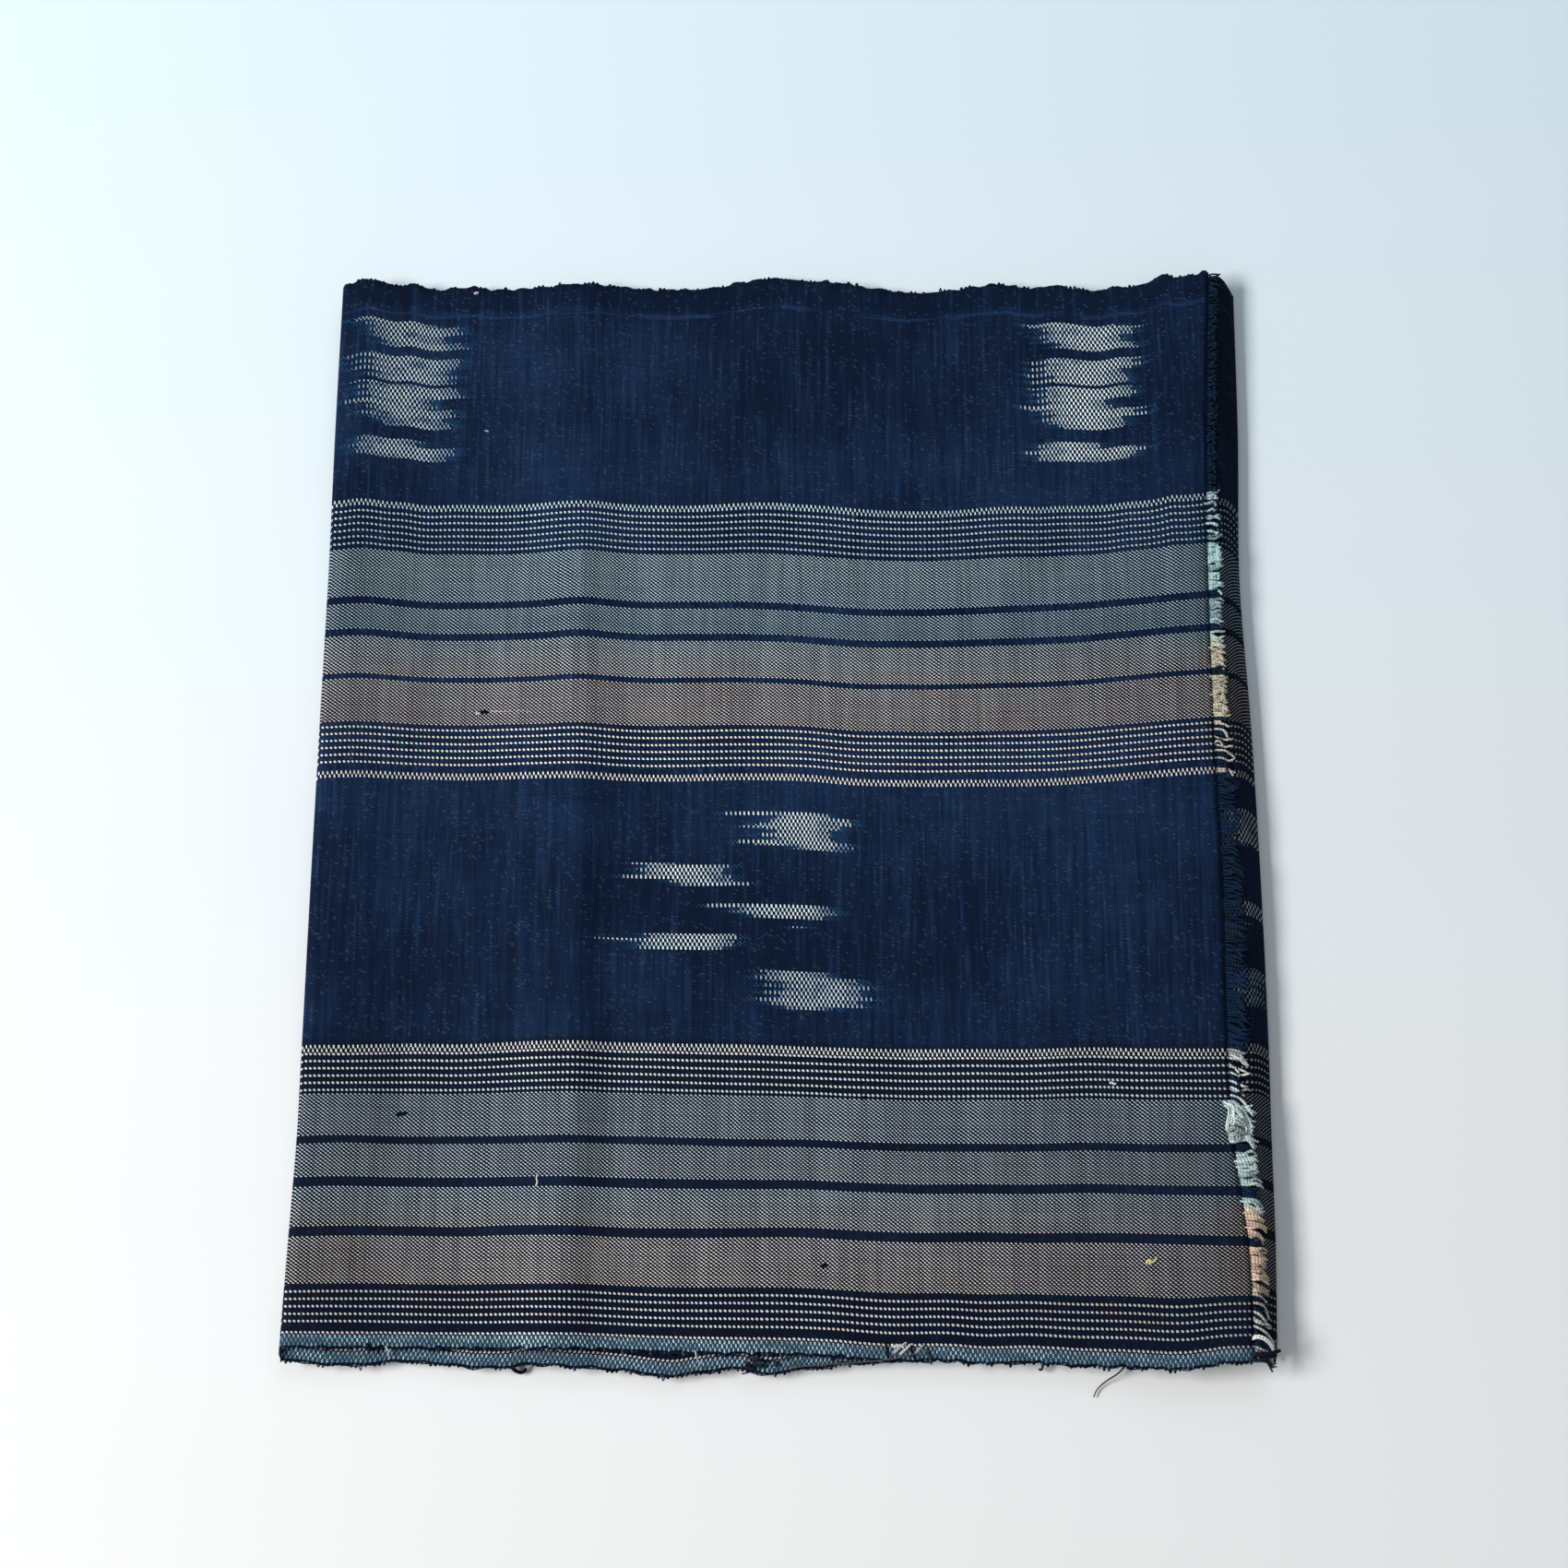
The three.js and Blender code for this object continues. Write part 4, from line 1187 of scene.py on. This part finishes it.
corner_lift = (0.0, 0.0, layer_height(1, np.array([136.0]), np.array([-167.0]))[0] - 4.6)
loose_parts = [
    loose_thread(LONG_THREAD, 0.3, 0.05), loose_thread(SHORT_CURL, 0.68, 0.0),
    loose_thread(np.array(CORNER_STUB) + corner_lift, 0.8, 0.0),
    loose_thread(np.array(CORNER_STUB) + corner_lift + (-1.4, -1.5, -0.4), 0.6, 0.01),
    loose_thread(np.array(CORNER_CURL) + corner_lift, 0.36, 0.95),
    loose_thread(np.array(CORNER_CURL) + corner_lift + (0.2, 0.6, 0.1), 0.36, 1.0),
    loose_thread(EDGE_NUB, 0.5, 0.02), loose_thread(WISP, 0.18, 0.85),
    loose_thread(SLIT_THREAD, 0.26, 0.1),
]


def lying(path, above):
    """A path over the top layer, from places along X and Y, this far above the cloth."""
    path = np.array(path, float)
    x, y = path.T
    z = layer_height(1, x, y) + CLOTH_THICK / 2 + above
    return np.stack([x, y, z], 1)


# Slubs, knots and short ends on the face: the places, height above it, radius and paleness
FACE_FLAWS = [
    ([(-115.6, -99.7), (-114.8, -99.2), (-113.6, -99.2), (-112.6, -98.8)], 0.25, 0.6, 0.0),
    ([(-94.2, 24.4), (-93.4, 24.8), (-92.6, 24.4), (-92.0, 24.9)], 0.3, 0.6, 0.0),
    ([(-95.6, 24.2), (-95.0, 24.3), (-94.6, 24.2), (-94.2, 24.4)], 0.2, 0.4, 1.0),
    ([(-91.6, 25.0), (-87.0, 24.7), (-82.0, 24.9), (-77.5, 24.4)], -0.12, 0.2, 0.6),
    ([(22.6, -94.2), (23.3, -94.7), (24.0, -94.2), (24.5, -94.4)], 0.2, 0.5, 0.0),
    ([(11.2, -143.0), (11.6, -143.6), (12.0, -143.2), (12.3, -143.9)], 0.2, 0.6, 0.0),
    ([(-73.2, -120.6), (-72.8, -119.4), (-73.1, -118.2), (-72.7, -117.0)], 0.12, 0.3, 0.9),
    ([(97.3, -90.2), (98.0, -90.0), (98.6, -90.5), (99.2, -90.2)], 0.15, 0.42, 1.0),
    ([(-95.6, 117.6), (-95.2, 117.8), (-94.8, 117.6), (-94.4, 117.4)], 0.1, 0.36, 0.6),
    ([(-100.4, 164.9), (-99.9, 165.5), (-99.5, 165.1), (-99.2, 165.6)], 0.2, 0.4, 0.85),
    ([(31.4, -166.2), (32.6, -166.6), (33.8, -166.2), (35.0, -166.9)], 0.25, 0.55, 0.9),
    ([(32.0, -168.4), (33.4, -167.2), (34.8, -166.0), (35.8, -165.4)], 0.2, 0.5, 0.6),
    ([(33.8, -168.8), (35.2, -167.6), (36.6, -166.4), (37.6, -165.8)], 0.2, 0.5, 0.75),
    ([(38.4, -168.6), (39.4, -167.4), (40.2, -166.6), (41.0, -166.0)], 0.15, 0.45, 0.45),
    ([(29.4, -165.2), (29.9, -166.8), (30.0, -168.4), (30.6, -169.8)], 0.15, 0.42, 0.0),
    ([(37.0, -166.0), (37.2, -167.6), (37.6, -169.0), (38.0, -170.2)], 0.15, 0.42, 0.0),
    ([(41.6, -167.0), (42.0, -168.4), (42.4, -169.6), (42.9, -170.6)], 0.15, 0.42, 0.05),
    ([(-121.6, -165.6), (-121.0, -166.6), (-120.6, -167.6), (-120.9, -168.6)], 0.1, 0.5, 0.0),
    ([(-116.2, -166.4), (-115.6, -167.4), (-115.2, -168.2), (-115.4, -169.2)], 0.1, 0.36, 0.6),
]
for path, above, radius, tone in FACE_FLAWS:
    loose_parts.append(loose_thread(lying(path, above), radius, tone, 12))
yellow_curl = [
    (106.2, -143.0), (106.6, -142.2), (107.4, -141.9), (107.2, -142.8), (106.8, -143.1), (107.8, -142.6),
    (108.7, -142.0), (109.3, -141.2),
]
points, faces, marks_here = loose_thread(lying(yellow_curl, 0.3), 0.36, 1.0)
marks_here[:, 2] += YELLOWED
loose_parts.append((points, faces, marks_here))
for tangle in range(LUMP_THREADS):
    middle_x = LOOSE_CHANCE.uniform(-11.6, -1.8)
    start = np.array([middle_x, LOOSE_CHANCE.uniform(-172.6, -170.2), LOOSE_CHANCE.uniform(2.6, 4.6)])
    drift = LOOSE_CHANCE.normal(0, 0.7, (5, 3)) * (1.3, 0.6, 0.35)
    drift = np.concatenate([np.zeros((1, 3)), np.cumsum(drift, 0)])
    path = start + drift
    path[:, 1] = np.clip(path[:, 1], -175.2, -169.6)
    path[:, 2] = np.clip(path[:, 2], 0.6, 5.2)
    loose_parts.append(loose_thread(path, LUMP_RADIUS, 0.04 * LOOSE_CHANCE.random(), 12))
loose = woven_piece("loose_threads", *joined(loose_parts))

tree, shader = new_finish("loose thread", loose)
marks = loom_marks(tree)
twist = sine(times(marks[0], 7.0))
colour = blend(marks[1], dye(8, 12, 22), dye(236, 236, 236))
colour = blend(exceeds(marks[2], 1.5), colour, dye(246, 226, 164))
shade = times_plus(twist, -0.1, 0.15)
colour = blend(shade, colour, dye(36, 42, 54))
feed(shader.inputs["Base Color"], colour)
relief(shader, twist, 0.7, 0.0001)
shader.inputs["Roughness"].default_value = 0.88
shader.inputs["Specular IOR Level"].default_value = 0.1

# Floor and light: a pale table top under a large window on the left and a cool sky beyond it
FLOOR_SIDE = 6.0

floor_mesh = bpy.data.meshes.new("floor")
corner = FLOOR_SIDE / 2
floor_mesh.from_pydata(
    [(-corner, -corner, 0), (corner, -corner, 0), (corner, corner, 0), (-corner, corner, 0)], [],
    [(0, 1, 2, 3)],
)
floor = bpy.data.objects.new("floor", floor_mesh)
bpy.context.scene.collection.objects.link(floor)
tree, shader = new_finish("pale table top", floor)
coordinates = tree.nodes.new("ShaderNodeTexCoord")
split = tree.nodes.new("ShaderNodeSeparateXYZ")
tree.links.new(coordinates.outputs["Object"], split.inputs[0])
# Painted light: the table top is tinted bluer toward the far side, for the cool sky light falling there
cool = rising(split.outputs[1], -0.26, 0.36)
colour = blend(cool, (0.87, 0.868, 0.87, 1.0), (0.72, 0.85, 0.93, 1.0))
feed(shader.inputs["Base Color"], colour)
shader.inputs["Roughness"].default_value = 0.7
shader.inputs["Specular IOR Level"].default_value = 0.2


def window(name, at, aim, size, power, colour):
    """A large soft rectangle of light."""
    data = bpy.data.lights.new(name, "AREA")
    data.shape = "RECTANGLE"
    data.size = size[0]
    data.size_y = size[1]
    data.energy = power
    data.color = colour
    lamp = bpy.data.objects.new(name, data)
    lamp.location = at
    direction = np.array(aim, float) - np.array(at, float)
    flat = math.hypot(direction[0], direction[1])
    lamp.rotation_euler = (
        math.atan2(flat, -direction[2]), 0.0, math.atan2(direction[1], direction[0]) - math.pi / 2
    )
    bpy.context.scene.collection.objects.link(lamp)


window("left window", (-1.9, -0.06, 1.42), (0, 0, 0), (1.3, 0.5), 67.0, (1.0, 0.987, 0.97))
window("far sky", (0.3, 1.7, 1.5), (0, 0, 0), (1.8, 1.2), 8.0, (0.72, 0.87, 1.0))

world = bpy.data.worlds.new("room")
bpy.context.scene.world = world
world.use_nodes = True
world.node_tree.nodes["Background"].inputs["Color"].default_value = (0.93, 0.97, 1.0, 1.0)
world.node_tree.nodes["Background"].inputs["Strength"].default_value = 0.26

for piece, slot in ((cloth, "cloth"), (selvedges, "cloth"), (loose, "cloth"), (fringe, "fringe")):
    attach(piece, "root")
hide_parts("cloth")
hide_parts("fringe")
